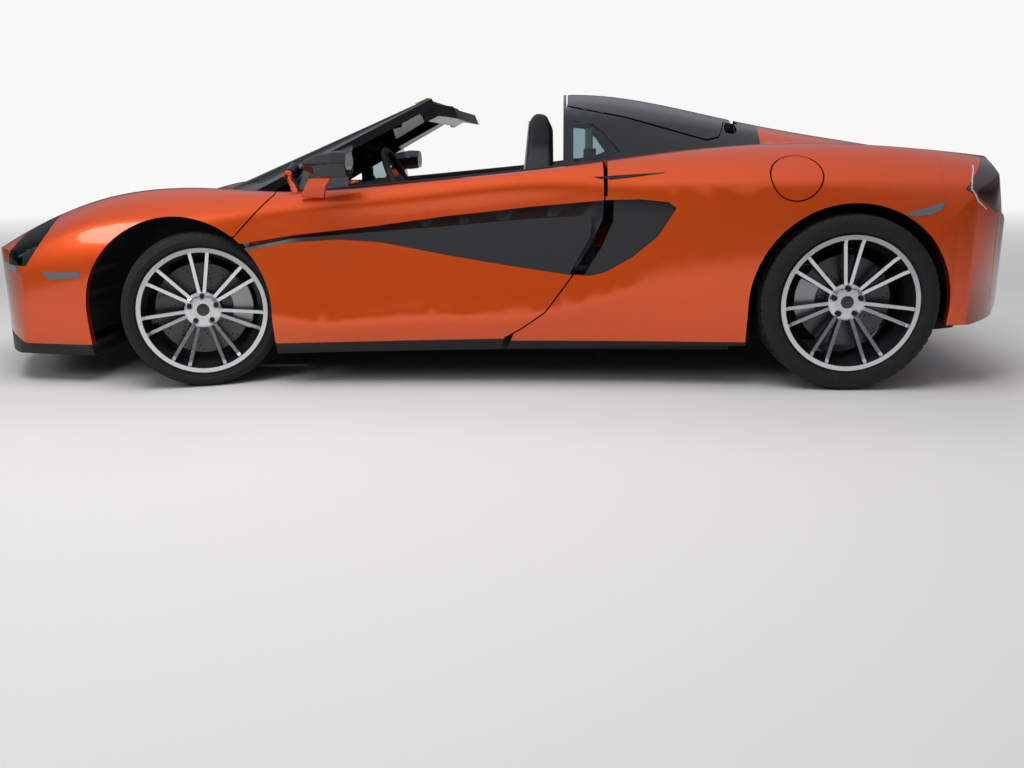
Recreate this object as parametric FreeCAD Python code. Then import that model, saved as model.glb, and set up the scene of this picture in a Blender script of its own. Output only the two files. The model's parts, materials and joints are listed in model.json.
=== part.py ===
import FreeCAD, Part
import math
import os
from FreeCAD import Vector

# Mid-engined open two-seater with its roof stowed. Millimetres.
# X runs from nose to tail, Y to the car's right, Z up. The origin is on the ground, midway along the car.

# Overall sizes
LENGTH = 4530.0
BODY_WIDTH = 1930.0
WHEELBASE = 2670.0
FRONT_OVERHANG = 1095.0
HALF_WIDTH = BODY_WIDTH / 2
NOSE_X = -LENGTH / 2
TAIL_X = LENGTH / 2
FRONT_AXLE_X = NOSE_X + FRONT_OVERHANG
REAR_AXLE_X = FRONT_AXLE_X + WHEELBASE

# Body skin, seams and gaps
SKIN = 30.0
GAP = 6.0
SEAM = 0.4
FIT = 0.05
CUT = 3000.0

# Wheels, one row per axle. hub is how far the wheel's seat lies outboard of the wheel's middle.
WHEELS = {
    "front": dict(
        x=FRONT_AXLE_X, track=1673.0, tyre=225.0, radius=320.0,
        rim=259.0, hub=42.0, disc=190.0, width=216.0,
    ),
    "rear": dict(
        x=REAR_AXLE_X, track=1618.0, tyre=285.0, radius=353.5,
        rim=271.5, hub=60.0, disc=185.0, width=272.0,
    ),
}
STEER_AT_REST = 20.0
SPOKE_PAIRS = 7
PAIR_AT_HUB = 7.0
PAIR_AT_RIM = 38.0
SPOKE_WIDTH = 14.0
HUB_RADIUS = 74.0
HUB_THICKNESS = 30.0
LUG_COUNT = 5
LUG_CIRCLE = 112.0
LUG_RADIUS = 14.0
LUG_DEPTH = 14.0
AXLE_RADIUS = 20.0
AXLE_REACH = 18.0
DISC_THICKNESS = 30.0
DISC_BEHIND = 56.0
CALIPER_WALL = 26.0
HAT_RADIUS = 80.0
UPRIGHT_BEHIND = 100.0
UPRIGHT_THICKNESS = 36.0
KINGPIN_BEHIND = 82.0
KINGPIN_RADIUS = 10.0
BALL_HEIGHT = 112.0
REAR_ARM_HEIGHT = 95.0
EYE_RADIUS = 20.0
EYE_HEIGHT = 20.0

# Wheel arches, set from each axle
ARCHES = {
    "front": dict(x=FRONT_AXLE_X - 53, z=312.0, radius=392.0, liner=412.0, inner_y=530.0),
    "rear": dict(x=REAR_AXLE_X - 3, z=352.0, radius=395.0, liner=410.0, inner_y=560.0),
}
LINER_WALL = 6.0
LINER_OUT = 856.0
DOOR_TO_LINER = 18.0

# Cabin
DOOR_INNER_Y = 782.0
TUB_HALF = 774.0
CABIN_HALF = 600.0
FLOOR_Z = 145.0
FLOOR_THICKNESS = 25.0
SILL_TOP_Z = 470.0

# Door hinge: a pin at the foot of the windscreen pillar, leaning inwards and back at the top
HINGE_AT = Vector(FRONT_AXLE_X + 404, 781, 870)
HINGE_LEAN = Vector(0.25, -0.80, 0.54)
HINGE_PIN_RADIUS = 8.0
HINGE_PIN_LENGTH = 56.0
HINGE_EYE_LENGTH = 22.0
HINGE_EYE_RADIUS = 19.0
HINGE_ARM_RADIUS = 12.0


def front(dx):
    """X of a place measured back from the front axle."""
    return FRONT_AXLE_X + dx


def rear(dx):
    """X of a place measured back from the rear axle."""
    return REAR_AXLE_X + dx


def place(anchor, dx):
    return front(dx) if anchor == "F" else rear(dx)


def vec(x, y, z):
    return Vector(float(x), float(y), float(z))


def box(x0, x1, y0, y1, z0, z1):
    return Part.makeBox(x1 - x0, y1 - y0, z1 - z0, vec(x0, y0, z0))


def polygon(points):
    return Part.Face(Part.makePolygon([*points, points[0]]))


def side_prism(outline, y0, y1):
    """Extrudes an outline of (x, z) points along Y."""
    return polygon([vec(x, y0, z) for x, z in outline]).extrude(vec(0, y1 - y0, 0))


def plan_prism(outline, z0, z1):
    """Extrudes an outline of (x, y) points along Z."""
    return polygon([vec(x, y, z0) for x, y in outline]).extrude(vec(0, 0, z1 - z0))


def cross_prism(outline, x0, x1):
    """Extrudes an outline of (y, z) points along X."""
    return polygon([vec(x0, y, z) for y, z in outline]).extrude(vec(x1 - x0, 0, 0))


def from_front(points):
    return [(front(dx), other) for dx, other in points]


def rod(start, end, radius):
    """A round bar between two points."""
    return Part.makeCylinder(radius, (end - start).Length, start, end - start)


def across(x, z, radius, y0, y1):
    """A cylinder along Y."""
    return Part.makeCylinder(radius, y1 - y0, vec(x, y0, z), vec(0, 1, 0))


def mirrored(shape):
    """The left-hand twin of a right-hand piece, or the other way round."""
    return shape.mirror(vec(0, 0, 0), vec(0, 1, 0))


def both(shape):
    """A piece and its twin, as two solids of one node."""
    return Part.makeCompound([shape, mirrored(shape)])


def fuse(*shapes):
    return shapes[0].multiFuse(list(shapes[1:])).removeSplitter()


def cut(shape, *tools):
    for tool in tools:
        shape = shape.cut(tool)
    return shape


def main_solid(shape):
    """The largest solid of a cut, without loose crumbs."""
    return max(shape.Solids, key=lambda solid: solid.Volume)


# Cross-sections of the body, nose to tail. The sill, low and shoulder columns give how far each point
# is set in from the half width, then its height. The crest gives Y and height, the middle only height.
# anchor, dx, sill, z, low, z, shoulder, z, crest y, z, middle z, lower bulge, side bulge
STATIONS = [
    ("F", -1095, 145, 140, 105, 300, 125, 430, 700, 480, 492, 8, 10),
    ("F", -800, 115, 125, 65, 320, 95, 540, 715, 612, 604, 8, 14),
    ("F", -424, 60, 125, 30, 390, 68, 665, 745, 765, 700, 8, 16),
    ("F", 0, 45, 130, 18, 440, 52, 700, 745, 812, 752, 6, 10),
    ("F", 340, 70, 135, 22, 300, 60, 710, 805, 798, 786, 5, -4),
    ("F", 900, 92, 145, 36, 292, 78, 735, 835, 830, 826, 4, -12),
    ("R", -1170, 98, 155, 34, 322, 68, 790, 835, 888, 880, 4, -10),
    ("R", -600, 74, 170, 16, 500, 46, 820, 745, 955, 948, 6, 2),
    ("R", 0, 44, 200, 8, 520, 42, 830, 745, 970, 952, 6, 8),
    ("R", 420, 65, 250, 20, 520, 66, 810, 740, 935, 922, 8, 10),
    ("R", 765, 105, 310, 80, 500, 115, 760, 720, 880, 868, 8, 10),
]
SHOULDER_BULGE = 20.0


def bulged(p, q, bulge):
    """Arc of a cross-section from p to q, standing out by bulge."""
    chord = q - p
    outward = vec(0, chord.z, -chord.y)
    outward.normalize()
    return Part.Arc(p, (p + q) * 0.5 + outward * bulge, q).toShape()


def section_wire(row, inset):
    """Closed outline of one body station, drawn in by inset."""
    anchor, dx, sill_in, sill_z, low_in, low_z, shoulder_in, shoulder_z = row[:8]
    crest_y, crest_z, middle_z, lower_bulge, side_bulge = row[8:]
    x = place(anchor, dx)
    sill = vec(x, HALF_WIDTH - sill_in - inset, sill_z + inset)
    low = vec(x, HALF_WIDTH - low_in - inset, low_z)
    shoulder = vec(x, HALF_WIDTH - shoulder_in - inset, shoulder_z - 0.4 * inset)
    crest = vec(x, crest_y - 0.6 * inset, crest_z - inset)
    middle = vec(x, 0, middle_z - inset)
    right = [
        bulged(sill, low, lower_bulge),
        bulged(low, shoulder, side_bulge),
        bulged(shoulder, crest, SHOULDER_BULGE),
    ]
    left = [mirrored(edge) for edge in reversed(right)]
    top = Part.Arc(crest, middle, vec(x, -crest.y, crest.z)).toShape()
    bottom = Part.makeLine(vec(x, -sill.y, sill.z), sill)
    return Part.Wire(Part.__sortEdges__([bottom, *right, top, *left]))


def plan_cutter(inset):
    """The swept nose and rounded tail seen from above."""
    n, t = NOSE_X + inset, TAIL_X - inset
    # start x, start y, middle x, middle y, end x, end y of each arc of the right-hand half
    half = [
        (n, 0, n + 38, 380, n + 168, 655),
        (n + 168, 655, n + 300, 850, n + 560, 946),
        (n + 560, 946, (n + t) / 2, 1100, t - 385, 928),
        (t - 385, 928, t - 190, 826, t - 82, 655),
        (t - 82, 655, t - 20, 370, t, 0),
    ]
    edges = []
    for x0, y0, xm, ym, x1, y1 in half:
        ends = [vec(x, max(y - inset, 0), 0) for x, y in ((x0, y0), (xm, ym), (x1, y1))]
        arc = Part.Arc(*ends).toShape()
        edges += [arc, mirrored(arc)]
    return Part.Face(Part.Wire(Part.__sortEdges__(edges))).extrude(vec(0, 0, CUT))


def side_cutter(inset):
    """The blunt nose and the raked tail seen from the side."""
    n, t = NOSE_X + inset, TAIL_X - inset
    corners = [
        (t - 190, 60), (n + 25, 60), (n, 490), (n, CUT), (t - 215, CUT), (t - 215, 903),
        (t - 150, 700), (t - 75, 650),
    ]
    line = Part.makePolygon([vec(x, -CUT, z) for x, z in corners])
    upper = Part.Arc(vec(t - 75, -CUT, 650), vec(t - 16, -CUT, 612), vec(t, -CUT, 560)).toShape()
    lower = Part.Arc(vec(t, -CUT, 560), vec(t - 52, -CUT, 420), vec(t - 190, -CUT, 250)).toShape()
    under = Part.makeLine(vec(t - 190, -CUT, 250), vec(t - 190, -CUT, 60))
    return Part.Face(Part.Wire([*line.Edges, upper, lower, under])).extrude(vec(0, 2 * CUT, 0))


MADE = {}


def body(inset):
    """The whole body as one solid, drawn in by inset."""
    if inset not in MADE:
        loft = Part.makeLoft([section_wire(row, inset) for row in STATIONS], True, False)
        MADE[inset] = loft.common(plan_cutter(inset)).common(side_cutter(inset))
    return MADE[inset]


def skin(region, inner=SKIN, outer=0.0):
    """The part of the body's wall that lies in a region, between two insets."""
    return body(outer).common(region).cut(body(inner))


# Lines that panels share, seen from the side, as (dx from the front axle, z)
DOOR_FRONT = [(356, 784), (196, 617)]
DOOR_REAR = [
    (1688, 900), (1692, 759), (1689, 686), (1650, 598), (1568, 465),
    (1459, 319), (1362, 248), (1291, 205), (1275, 150),
]
BLADE_TOP = [(194, 590), (431, 626), (756, 660), (1047, 698), (1394, 735), (1692, 759)]
BLADE_BOTTOM = [(1568, 465), (1323, 500), (1054, 545), (794, 596), (623, 608), (429, 598), (227, 562)]
BLADE_EDGE = [(230, 575), (427, 612), (1055, 658), (1394, 686), (1645, 700), (1640, 620), (1561, 478)]
SCOOP = [
    (1698, 761), (1834, 764), (1943, 753), (1976, 730), (1908, 622),
    (1807, 538), (1703, 479), (1638, 463), (1576, 467),
]
BUMPER_SEAM = [(-1400, 470), (-930, 500), (-700, 470), (-430, 480)]
SKIRT_TOP = 190.0


def arch_cut(axle, key="radius", y0=400.0, y1=1200.0, gap=0.0):
    """The round cut of one right-hand wheel arch, open at the bottom."""
    arch = ARCHES[axle]
    radius = arch[key] + gap
    round_part = across(arch["x"], arch["z"], radius, y0, y1)
    below = box(arch["x"] - radius, arch["x"] + radius, y0, y1, -200, arch["z"])
    return fuse(round_part, below)


def grown(outline, gap):
    """An outline of (x, z) or (x, y) points moved outwards by gap, corner by corner."""
    count = len(outline)
    area = sum(a[0] * b[1] - b[0] * a[1] for a, b in zip(outline, outline[1:] + outline[:1]))
    turn = 1.0 if area > 0 else -1.0
    moved = []
    for i in range(count):
        before, here, after = outline[i - 1], outline[i], outline[(i + 1) % count]
        normals = []
        for a, b in ((before, here), (here, after)):
            length = math.hypot(b[0] - a[0], b[1] - a[1])
            normals.append((turn * (b[1] - a[1]) / length, -turn * (b[0] - a[0]) / length))
        (ax, ay), (bx, by) = normals
        scale = gap / max(1 + ax * bx + ay * by, 0.3)
        moved.append((here[0] + (ax + bx) * scale, here[1] + (ay + by) * scale))
    return moved


def door_outline():
    """The door seen from the side, with its skirt; the arch takes its lower front corner."""
    top = [(DOOR_REAR[0][0], 1000), (DOOR_FRONT[0][0], 1000)]
    lower = [(150, 617), (150, 60), (DOOR_REAR[-1][0], 60)]
    return from_front([*top, *DOOR_FRONT, *lower, *reversed(DOOR_REAR)])


# The front lid and the open top, halves seen from above, as (dx from the front axle, y)
BONNET_SIDE = [(-850, 300), (-790, 400), (-440, 560), (-140, 585)]
BONNET_BACK = [(-175, 300), (-190, 0)]
COWL_BACK = [(200, 588), (60, 350), (-20, 0)]
OPEN_TOP = [
    (-140, 591), (88, 591), (148, 660), (189, 700), (233, 738), (256, 768),
    (330, 776), (1540, 776), (1700, 728), (2120, 700), (2330, 640), (2330, 0),
]


def whole_outline(half):
    """Both sides of an outline whose half is given as (dx, y)."""
    right = from_front(half)
    left = [(x, -y) for x, y in reversed(right) if y > 0]
    return [*right, *left]


# Superstructure behind the seats: hoops, flying buttresses and the cover between them
# dx from the front axle, base y, z, flank y, z, crest y, z, valley z
HUMPS = [
    (1530, 770, 872, 655, 1085, 440, 1185, 1100),
    (1900, 765, 908, 640, 1065, 440, 1150, 1078),
    (2250, 735, 925, 625, 1022, 450, 1072, 1018),
    (2560, 715, 920, 620, 985, 465, 1003, 975),
    (2880, 690, 905, 600, 938, 450, 944, 930),
]


def hump_wire(row, inset):
    dx, base_y, base_z, flank_y, flank_z, crest_y, crest_z, valley_z = row
    x = front(dx)
    base = vec(x, base_y - inset, base_z - 160)
    knee = vec(x, base_y - inset, base_z)
    flank = vec(x, flank_y - inset, flank_z - 0.3 * inset)
    crest = vec(x, crest_y, crest_z - inset)
    valley = vec(x, 0, valley_z - inset)
    right = [
        Part.makeLine(base, knee),
        bulged(knee, flank, 4),
        bulged(flank, crest, 14),
        bulged(crest, valley, -6),
    ]
    left = [mirrored(edge) for edge in right]
    bottom = Part.makeLine(vec(x, -base.y, base.z), base)
    return Part.Wire(Part.__sortEdges__([*right, *left, bottom]))


def humps(inset):
    key = ("humps", inset)
    if key not in MADE:
        rows = HUMPS
        MADE[key] = Part.makeLoft([hump_wire(row, inset) for row in rows], True, False)
    return MADE[key]


def hump_shell(wall):
    outer = humps(0.0)
    inner = humps(wall)
    ends = box(front(HUMPS[0][0]) - 5, front(HUMPS[-1][0]) - 1, -CUT, CUT, -CUT, CUT)
    return outer.cut(inner.common(ends))


# Windscreen: two arcs, one at its base and one along the header
SCREEN_BASE = dict(side_x=250, side_y=745, side_z=800, middle_x=-110, middle_z=775)
SCREEN_HEAD = dict(side_x=968, side_y=530, side_z=1172, middle_x=890, middle_z=1192)
SCREEN_NORMAL = Vector(-0.387, 0, 0.922)


def screen_arc(level, side_in, depth):
    """The screen's arc at a level from 0 at the base to 1 at the header, sunk by depth."""
    mix = {key: SCREEN_BASE[key] + (SCREEN_HEAD[key] - SCREEN_BASE[key]) * level for key in SCREEN_BASE}
    share = 1 - side_in / mix["side_y"]
    sag = share * share
    middle = vec(front(mix["middle_x"]), 0, mix["middle_z"]) - SCREEN_NORMAL * depth
    side_x = mix["middle_x"] + (mix["side_x"] - mix["middle_x"]) * sag
    side_z = mix["middle_z"] + (mix["side_z"] - mix["middle_z"]) * sag
    side = vec(front(side_x), mix["side_y"] * share, side_z) - SCREEN_NORMAL * depth
    return side, middle, vec(side.x, -side.y, side.z)


def screen_band(low, high, side_in, top, bottom):
    """A bent plate between two levels of the screen and two depths below its face."""
    arcs = [Part.Arc(*screen_arc(level, side_in, top)).toShape() for level in (low, high)]
    return Part.makeRuledSurface(*arcs).extrude(SCREEN_NORMAL * (top - bottom))


# Pieces on the wheels
def tyre(w):
    """Tyre turned about Y through the middle of the wheel, outboard towards +Y."""
    half, r, rim = w["tyre"] / 2, w["radius"], w["rim"]
    tread = half - 12
    bead = w["width"] / 2 - 8
    seat = rim - 12
    wall = (r + rim) / 2 - 4
    lip = rim + 2
    points = [(-bead, lip), (-half, wall), (-tread, r - 9), (-tread + 26, r - 2), (0, r)]
    lower_mid = vec(0, -half + 1.5, (lip + wall) / 2 + 4)
    upper_mid = vec(0, -half + 3.5, (wall + r - 9) / 2 + 5)
    arcs = [
        Part.makeLine(vec(0, -bead, seat), vec(0, -bead, lip)),
        Part.Arc(vec(0, -bead, lip), lower_mid, vec(0, -half, wall)).toShape(),
        Part.Arc(vec(0, -half, wall), upper_mid, vec(0, *points[2])).toShape(),
        Part.makeLine(vec(0, *points[2]), vec(0, *points[3])),
    ]
    mirror = [edge.mirror(vec(0, 0, 0), vec(0, 1, 0)) for edge in arcs]
    top = Part.Arc(vec(0, *points[3]), vec(0, *points[4]), vec(0, -points[3][0], points[3][1])).toShape()
    inner = Part.makeLine(vec(0, bead, seat), vec(0, -bead, seat))
    wire = Part.Wire(Part.__sortEdges__([*arcs, top, *mirror, inner]))
    return Part.Face(wire).revolve(vec(0, 0, 0), vec(0, 1, 0), 360)


def turned(points):
    """A solid turned about Y from (y, r) points."""
    face = polygon([vec(0, y, r) for y, r in points])
    return face.revolve(vec(0, 0, 0), vec(0, 1, 0), 360)


def wheel(w):
    """Rim barrel, hub and paired spokes, outboard towards +Y."""
    half, rim, hub = w["width"] / 2, w["rim"], w["hub"]
    seat = rim - 12.0 - SEAM
    barrel = turned([
        (-half, rim), (-half + 8 - SEAM, rim), (-half + 8 - SEAM, seat), (-half * 0.55, seat),
        (-half * 0.35, rim - 34), (half * 0.35, rim - 34), (half * 0.6, seat), (half - 8 + SEAM, seat),
        (half - 8 + SEAM, rim), (half, rim), (half, rim - 18), (half * 0.6, rim - 22),
        (half * 0.35, rim - 41), (-half * 0.4, rim - 41), (-half, rim - 20),
    ])
    rim_in = rim - 22.0
    dish = turned([
        (hub, HUB_RADIUS - 20), (hub + 24, HUB_RADIUS - 10), (half - 14, rim_in - 14),
        (half - 4, rim_in), (half - 4, rim_in + 6), (half * 0.62, rim_in + 3),
        (half * 0.5, rim_in - 20), (hub + 3, HUB_RADIUS + 30),
    ])
    spokes = []
    for pair in range(SPOKE_PAIRS):
        for side in (-1, 1):
            inner, outer = side * PAIR_AT_HUB, side * PAIR_AT_RIM
            r0, r1 = HUB_RADIUS - 24, rim
            bar = [(inner - SPOKE_WIDTH / 2, r0), (inner + SPOKE_WIDTH / 2, r0),
                   (outer + SPOKE_WIDTH / 2, r1), (outer - SPOKE_WIDTH / 2, r1)]
            prism = polygon([vec(x, 0, z) for x, z in bar]).extrude(vec(0, half + 20, 0))
            prism.rotate(vec(0, 0, 0), vec(0, 1, 0), pair * 360 / SPOKE_PAIRS)
            spokes.append(prism)
    arms = dish.common(spokes[0].multiFuse(spokes[1:]))
    hub_face = hub + HUB_THICKNESS
    pad = turned([
        (hub, 0), (hub, HUB_RADIUS), (hub + 22, HUB_RADIUS), (hub_face, HUB_RADIUS - 14), (hub_face, 0),
    ])
    piece = fuse(barrel, arms, pad)
    bore = across(0, 0, AXLE_RADIUS + FIT, hub - 10, hub + AXLE_REACH + 2)
    lugs = []
    for i in range(LUG_COUNT):
        angle = 2 * math.pi * i / LUG_COUNT
        x, z = LUG_CIRCLE / 2 * math.sin(angle), LUG_CIRCLE / 2 * math.cos(angle)
        lugs.append(across(x, z, LUG_RADIUS, hub_face - LUG_DEPTH, hub_face + 10))
    return cut(piece, bore, *lugs)


def disc(w):
    """Brake disc with its hat, seated on the back of the wheel's hub."""
    hub, radius = w["hub"], w["disc"]
    back = hub - DISC_BEHIND
    return turned([
        (hub - 8, AXLE_RADIUS + FIT), (hub, AXLE_RADIUS + FIT), (hub, HAT_RADIUS - 4), (hub - 20, HAT_RADIUS),
        (back + DISC_THICKNESS, HAT_RADIUS), (back + DISC_THICKNESS, radius), (back, radius),
        (back, HAT_RADIUS - 8), (hub - 8, HAT_RADIUS - 12),
    ])


def upright(w, pins):
    """Knuckle with the stub axle. pins are the ball pins of a steered wheel."""
    hub = w["hub"]
    back, face = hub - UPRIGHT_BEHIND, hub - UPRIGHT_BEHIND + UPRIGHT_THICKNESS
    middle = hub - KINGPIN_BEHIND
    boss = across(0, 0, 52, back, face)
    web = box(-30, 30, back, face, -BALL_HEIGHT, BALL_HEIGHT)
    stub = across(0, 0, AXLE_RADIUS, back, hub + AXLE_REACH)
    foot = box(20, 165, back, hub - DISC_BEHIND - CALIPER_WALL - SEAM, -30, 30)
    pieces = [boss, web, stub, foot]
    if pins:
        reach = BALL_HEIGHT + EYE_HEIGHT
        pieces.append(Part.makeCylinder(KINGPIN_RADIUS, 2 * reach, vec(0, middle, -reach)))
    return fuse(*pieces)


def caliper(w):
    """Fixed caliper over the disc, behind the axle."""
    hub, radius = w["hub"], w["disc"]
    back = hub - DISC_BEHIND
    inner, outer = 122.0, radius + 17
    profile = [(back - CALIPER_WALL, inner), (back - CALIPER_WALL, outer), (hub - 6, outer), (hub - 6, inner),
               (back + DISC_THICKNESS + 3, inner), (back + DISC_THICKNESS + 3, radius + 4),
               (back - 3, radius + 4), (back - 3, inner)]
    face = polygon([vec(r, y, 0) for y, r in profile])
    sector = face.revolve(vec(0, 0, 0), vec(0, 1, 0), 54)
    sector.rotate(vec(0, 0, 0), vec(0, 1, 0), -27)
    return sector


def at_wheel(shape, w, side, steer=0.0, spin=0.0, flip=False):
    """Puts a wheel piece at its corner. side is 1 for right and -1 for left."""
    piece = shape.copy()
    if flip:
        piece = piece.mirror(vec(0, 0, 0), vec(1, 0, 0))
    piece.rotate(vec(0, 0, 0), vec(0, 1, 0), spin)
    if side < 0:
        piece = mirrored(piece)
    middle = w["track"] / 2
    kingpin = middle + w["hub"] - KINGPIN_BEHIND
    piece.translate(vec(w["x"], side * middle, w["radius"]))
    if steer:
        piece.rotate(vec(w["x"], side * kingpin, 0), vec(0, 0, 1), steer)
    return piece


nodes = {}

# Shared cutters, all for the right-hand side
front_arch, rear_arch = arch_cut("front"), arch_cut("rear")
bonnet_plan = whole_outline([*BONNET_SIDE, *BONNET_BACK])
bonnet_hole = plan_prism(grown(bonnet_plan, GAP), 400, CUT)
open_top = plan_prism(whole_outline([(-184, 0), (-169, 300), *OPEN_TOP]), 400, CUT)
door_hole = side_prism(grown(door_outline(), GAP), 300, CUT)


# Front end
SPLITTER_TOP = 172.0
LAMP = [(-572, 712), (-650, 678), (-731, 626), (-790, 545), (-800, 503), (-697, 503), (-600, 640)]
LAMP_DEPTH = 55.0
CHIN_Y = 715.0
# The black corner of the chin seen from the side, as (dx, z)
CHIN = [(-1200, 345), (-888, 345), (-868, 215), (-745, 172), (-745, 100), (-1200, 100)]
# Air intakes of the bumper seen from the front, as (y, z)
SIDE_INTAKE = [(360, 215), (725, 215), (725, 350), (700, 420), (600, 445), (470, 350)]
MIDDLE_INTAKE = [(-330, 205), (330, 205), (300, 290), (-300, 290)]


def ahead_of(dx):
    return box(-CUT, front(dx), -CUT, CUT, -CUT, CUT)


lamp_room = side_prism(grown(from_front(LAMP), SEAM), 480, CUT)
bumper_region = side_prism(from_front([*BUMPER_SEAM, (-300, 480), (-300, 0), (-1400, 0)]), -CUT, CUT)
seam_line = [(x, z + SEAM) for x, z in BUMPER_SEAM]
below_seam = side_prism(from_front([(-1400, 0), *seam_line, (-300, 480 + SEAM), (-300, 0)]), -CUT, CUT)
side_intake = cross_prism(SIDE_INTAKE, front(-1200), front(-640))
intakes = [side_intake, mirrored(side_intake), cross_prism(MIDDLE_INTAKE, front(-1200), front(-900))]


def chin(gap):
    """Room of the black corners, which starts outboard of the intakes."""
    outline = grown(from_front(CHIN), gap)
    return both(side_prism(outline, CHIN_Y - gap, CUT))


def front_bumper():
    below = fuse(box(-CUT, CUT, -CUT, CUT, -CUT, SPLITTER_TOP + SEAM), *chin(SEAM).Solids)
    nose_top = box(-CUT, front(-856) - SEAM, -CUT, CUT, 400, CUT)
    piece = skin(fuse(bumper_region.common(ahead_of(-380)), nose_top))
    arches = [front_arch, mirrored(front_arch)]
    return main_solid(cut(piece, *arches, below, lamp_room, mirrored(lamp_room), *intakes))


def front_splitter():
    """Plate under the nose with its two upright corners."""
    plate = body(0.0).common(box(-CUT, front(-400), -CUT, CUT, -CUT, SPLITTER_TOP))
    corners = skin(fuse(*chin(0.0).Solids).common(ahead_of(-740)))
    return main_solid(cut(fuse(plate, *corners.Solids), front_arch, mirrored(front_arch)))


def front_fender():
    piece = skin(box(front(-856), front(420), 280, CUT, 300, CUT))
    return main_solid(cut(piece, below_seam, front_arch, bonnet_hole, open_top, lamp_room, door_hole))


def headlamp():
    region = side_prism(from_front(LAMP), 500, CUT)
    return main_solid(skin(region, LAMP_DEPTH).cut(bonnet_hole))


def bonnet():
    return main_solid(skin(plan_prism(bonnet_plan, 440, CUT)))


nodes["front_bumper"] = front_bumper()
nodes["front_splitter"] = front_splitter()
fender = front_fender()
nodes["front_fender_right"] = fender
nodes["front_fender_left"] = mirrored(fender)
nodes["headlamps"] = both(headlamp())

# Doors
POCKET_DEPTH = 55.0
POCKET_LINE = [*BLADE_TOP[:-1], (1740, 765), (1620, 465), *BLADE_BOTTOM]
# The dark lining lies between these insets; the blade stands on it
LINING_BACK, LINING_FACE = 54.6, 30.0
BLADE_THICKNESS = 14.0


def liner_room():
    """Room that the door leaves for the wheelhouse of the front wheel."""
    return arch_cut("front", "liner", 300, LINER_OUT + DOOR_TO_LINER, GAP)


def door():
    block = body(0.0).common(side_prism(door_outline(), DOOR_INNER_Y, CUT))
    pocket = side_prism(from_front(POCKET_LINE), 600, CUT).cut(body(POCKET_DEPTH))
    panel = main_solid(cut(block, front_arch, liner_room(), pocket))
    lean = Vector(HINGE_LEAN).normalize()
    eye_at = HINGE_AT - lean * (GAP / 2 + HINGE_EYE_LENGTH / 2)
    eye = rod(eye_at - lean * HINGE_EYE_LENGTH / 2, eye_at + lean * HINGE_EYE_LENGTH / 2, HINGE_EYE_RADIUS)
    arm = rod(eye_at, vec(front(440), 826, 784), HINGE_ARM_RADIUS)
    bore = rod(HINGE_AT - lean * 60, HINGE_AT + lean * 60, HINGE_PIN_RADIUS + FIT)
    return main_solid(fuse(panel, eye, arm).cut(bore))


def blade():
    """Dark lining of the recess with the blade standing on it."""
    lifted = [(dx, z + SEAM) for dx, z in BLADE_BOTTOM]
    plate = side_prism(from_front([*BLADE_EDGE, *lifted]), DOOR_INNER_Y, CUT)
    lining = side_prism(grown(from_front(POCKET_LINE), -SEAM), DOOR_INNER_Y, CUT)
    lining = body(LINING_FACE).common(lining).common(side_prism(door_outline(), DOOR_INNER_Y, CUT))
    piece = fuse(body(0.0).common(plate).cut(body(LINING_FACE)), lining)
    return main_solid(cut(piece, body(LINING_BACK), front_arch, liner_room()))


nodes["door_right"] = door()
nodes["blade_right"] = blade()

# Rear end
QUARTER_END = 3000.0
DECK_HALF = 690.0
DECK_START = 2336.0
FLAP_AT = (2438.0, 853.0)


# Room for the door's rear edge, which swings back a little as the door lifts: its lower corner
# needs a sloping cut, its upper one a straight cut
SWING_LOW = [(1270, 0), (1298, 0), (1298, 150), (1334, 230), (1270, 230)]
SWING_HIGH = (1680, 1706, 776)


def swing_low():
    return side_prism(from_front(SWING_LOW), 700, CUT)


def rear_quarter():
    piece = skin(box(front(1200), front(QUARTER_END), 300, CUT, SKIRT_TOP + SEAM, CUT))
    deck = box(front(DECK_START) - SEAM, CUT, -DECK_HALF - SEAM, DECK_HALF + SEAM, 0, CUT)
    scoop = side_prism(from_front(SCOOP), 600, CUT)
    under = box(-CUT, CUT, 0, 790, 0, 500)
    high = box(front(SWING_HIGH[0]), front(SWING_HIGH[1]), 790, CUT, SWING_HIGH[2], CUT)
    return main_solid(cut(piece, door_hole, rear_arch, open_top, deck, scoop, under, swing_low(), high))


SCOOP_SLOT = 42.0


def scoop_panel():
    """Dark panel in the side intake; the air goes in through the slot behind the door."""
    outline = side_prism(grown(from_front(SCOOP), -SEAM), 700, CUT)
    ahead = side_prism(grown(door_outline(), SCOOP_SLOT), 300, CUT)
    return main_solid(skin(outline, SKIN, BLADE_THICKNESS).cut(ahead))


# Fuel flap on the left flank, hinged on a pin under its front rim by a swan-neck arm
FLAP_RADIUS = 98.0
FLAP_THICKNESS = BLADE_THICKNESS
FLAP_TILT = 28.0
FLAP_PIN_AHEAD = 24.0
FLAP_PIN_DEPTH = 15.0
FLAP_PIN_RADIUS = 3.0


def flap_frame():
    """Middle of the flap on the skin, its outward normal and its upward tangent."""
    tilt = math.radians(FLAP_TILT)
    outward = vec(0, -math.cos(tilt), math.sin(tilt))
    upward = vec(0, math.sin(tilt), math.cos(tilt))
    x, z = front(FLAP_AT[0]), FLAP_AT[1]
    line = Part.makeLine(vec(x, -CUT, z), vec(x, -600, z))
    hit = body(0.0).common(line)
    y = min(vertex.Y for vertex in hit.Vertexes)
    return vec(x, y, z), outward, upward


def flap_disc(radius, inward, outward_reach):
    middle, outward, _ = flap_frame()
    return Part.makeCylinder(radius, inward + outward_reach, middle - outward * inward, outward)


def flap_pin_line():
    middle, outward, upward = flap_frame()
    return middle - vec(FLAP_RADIUS + FLAP_PIN_AHEAD, 0, 0) - outward * FLAP_PIN_DEPTH, outward, upward


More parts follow.
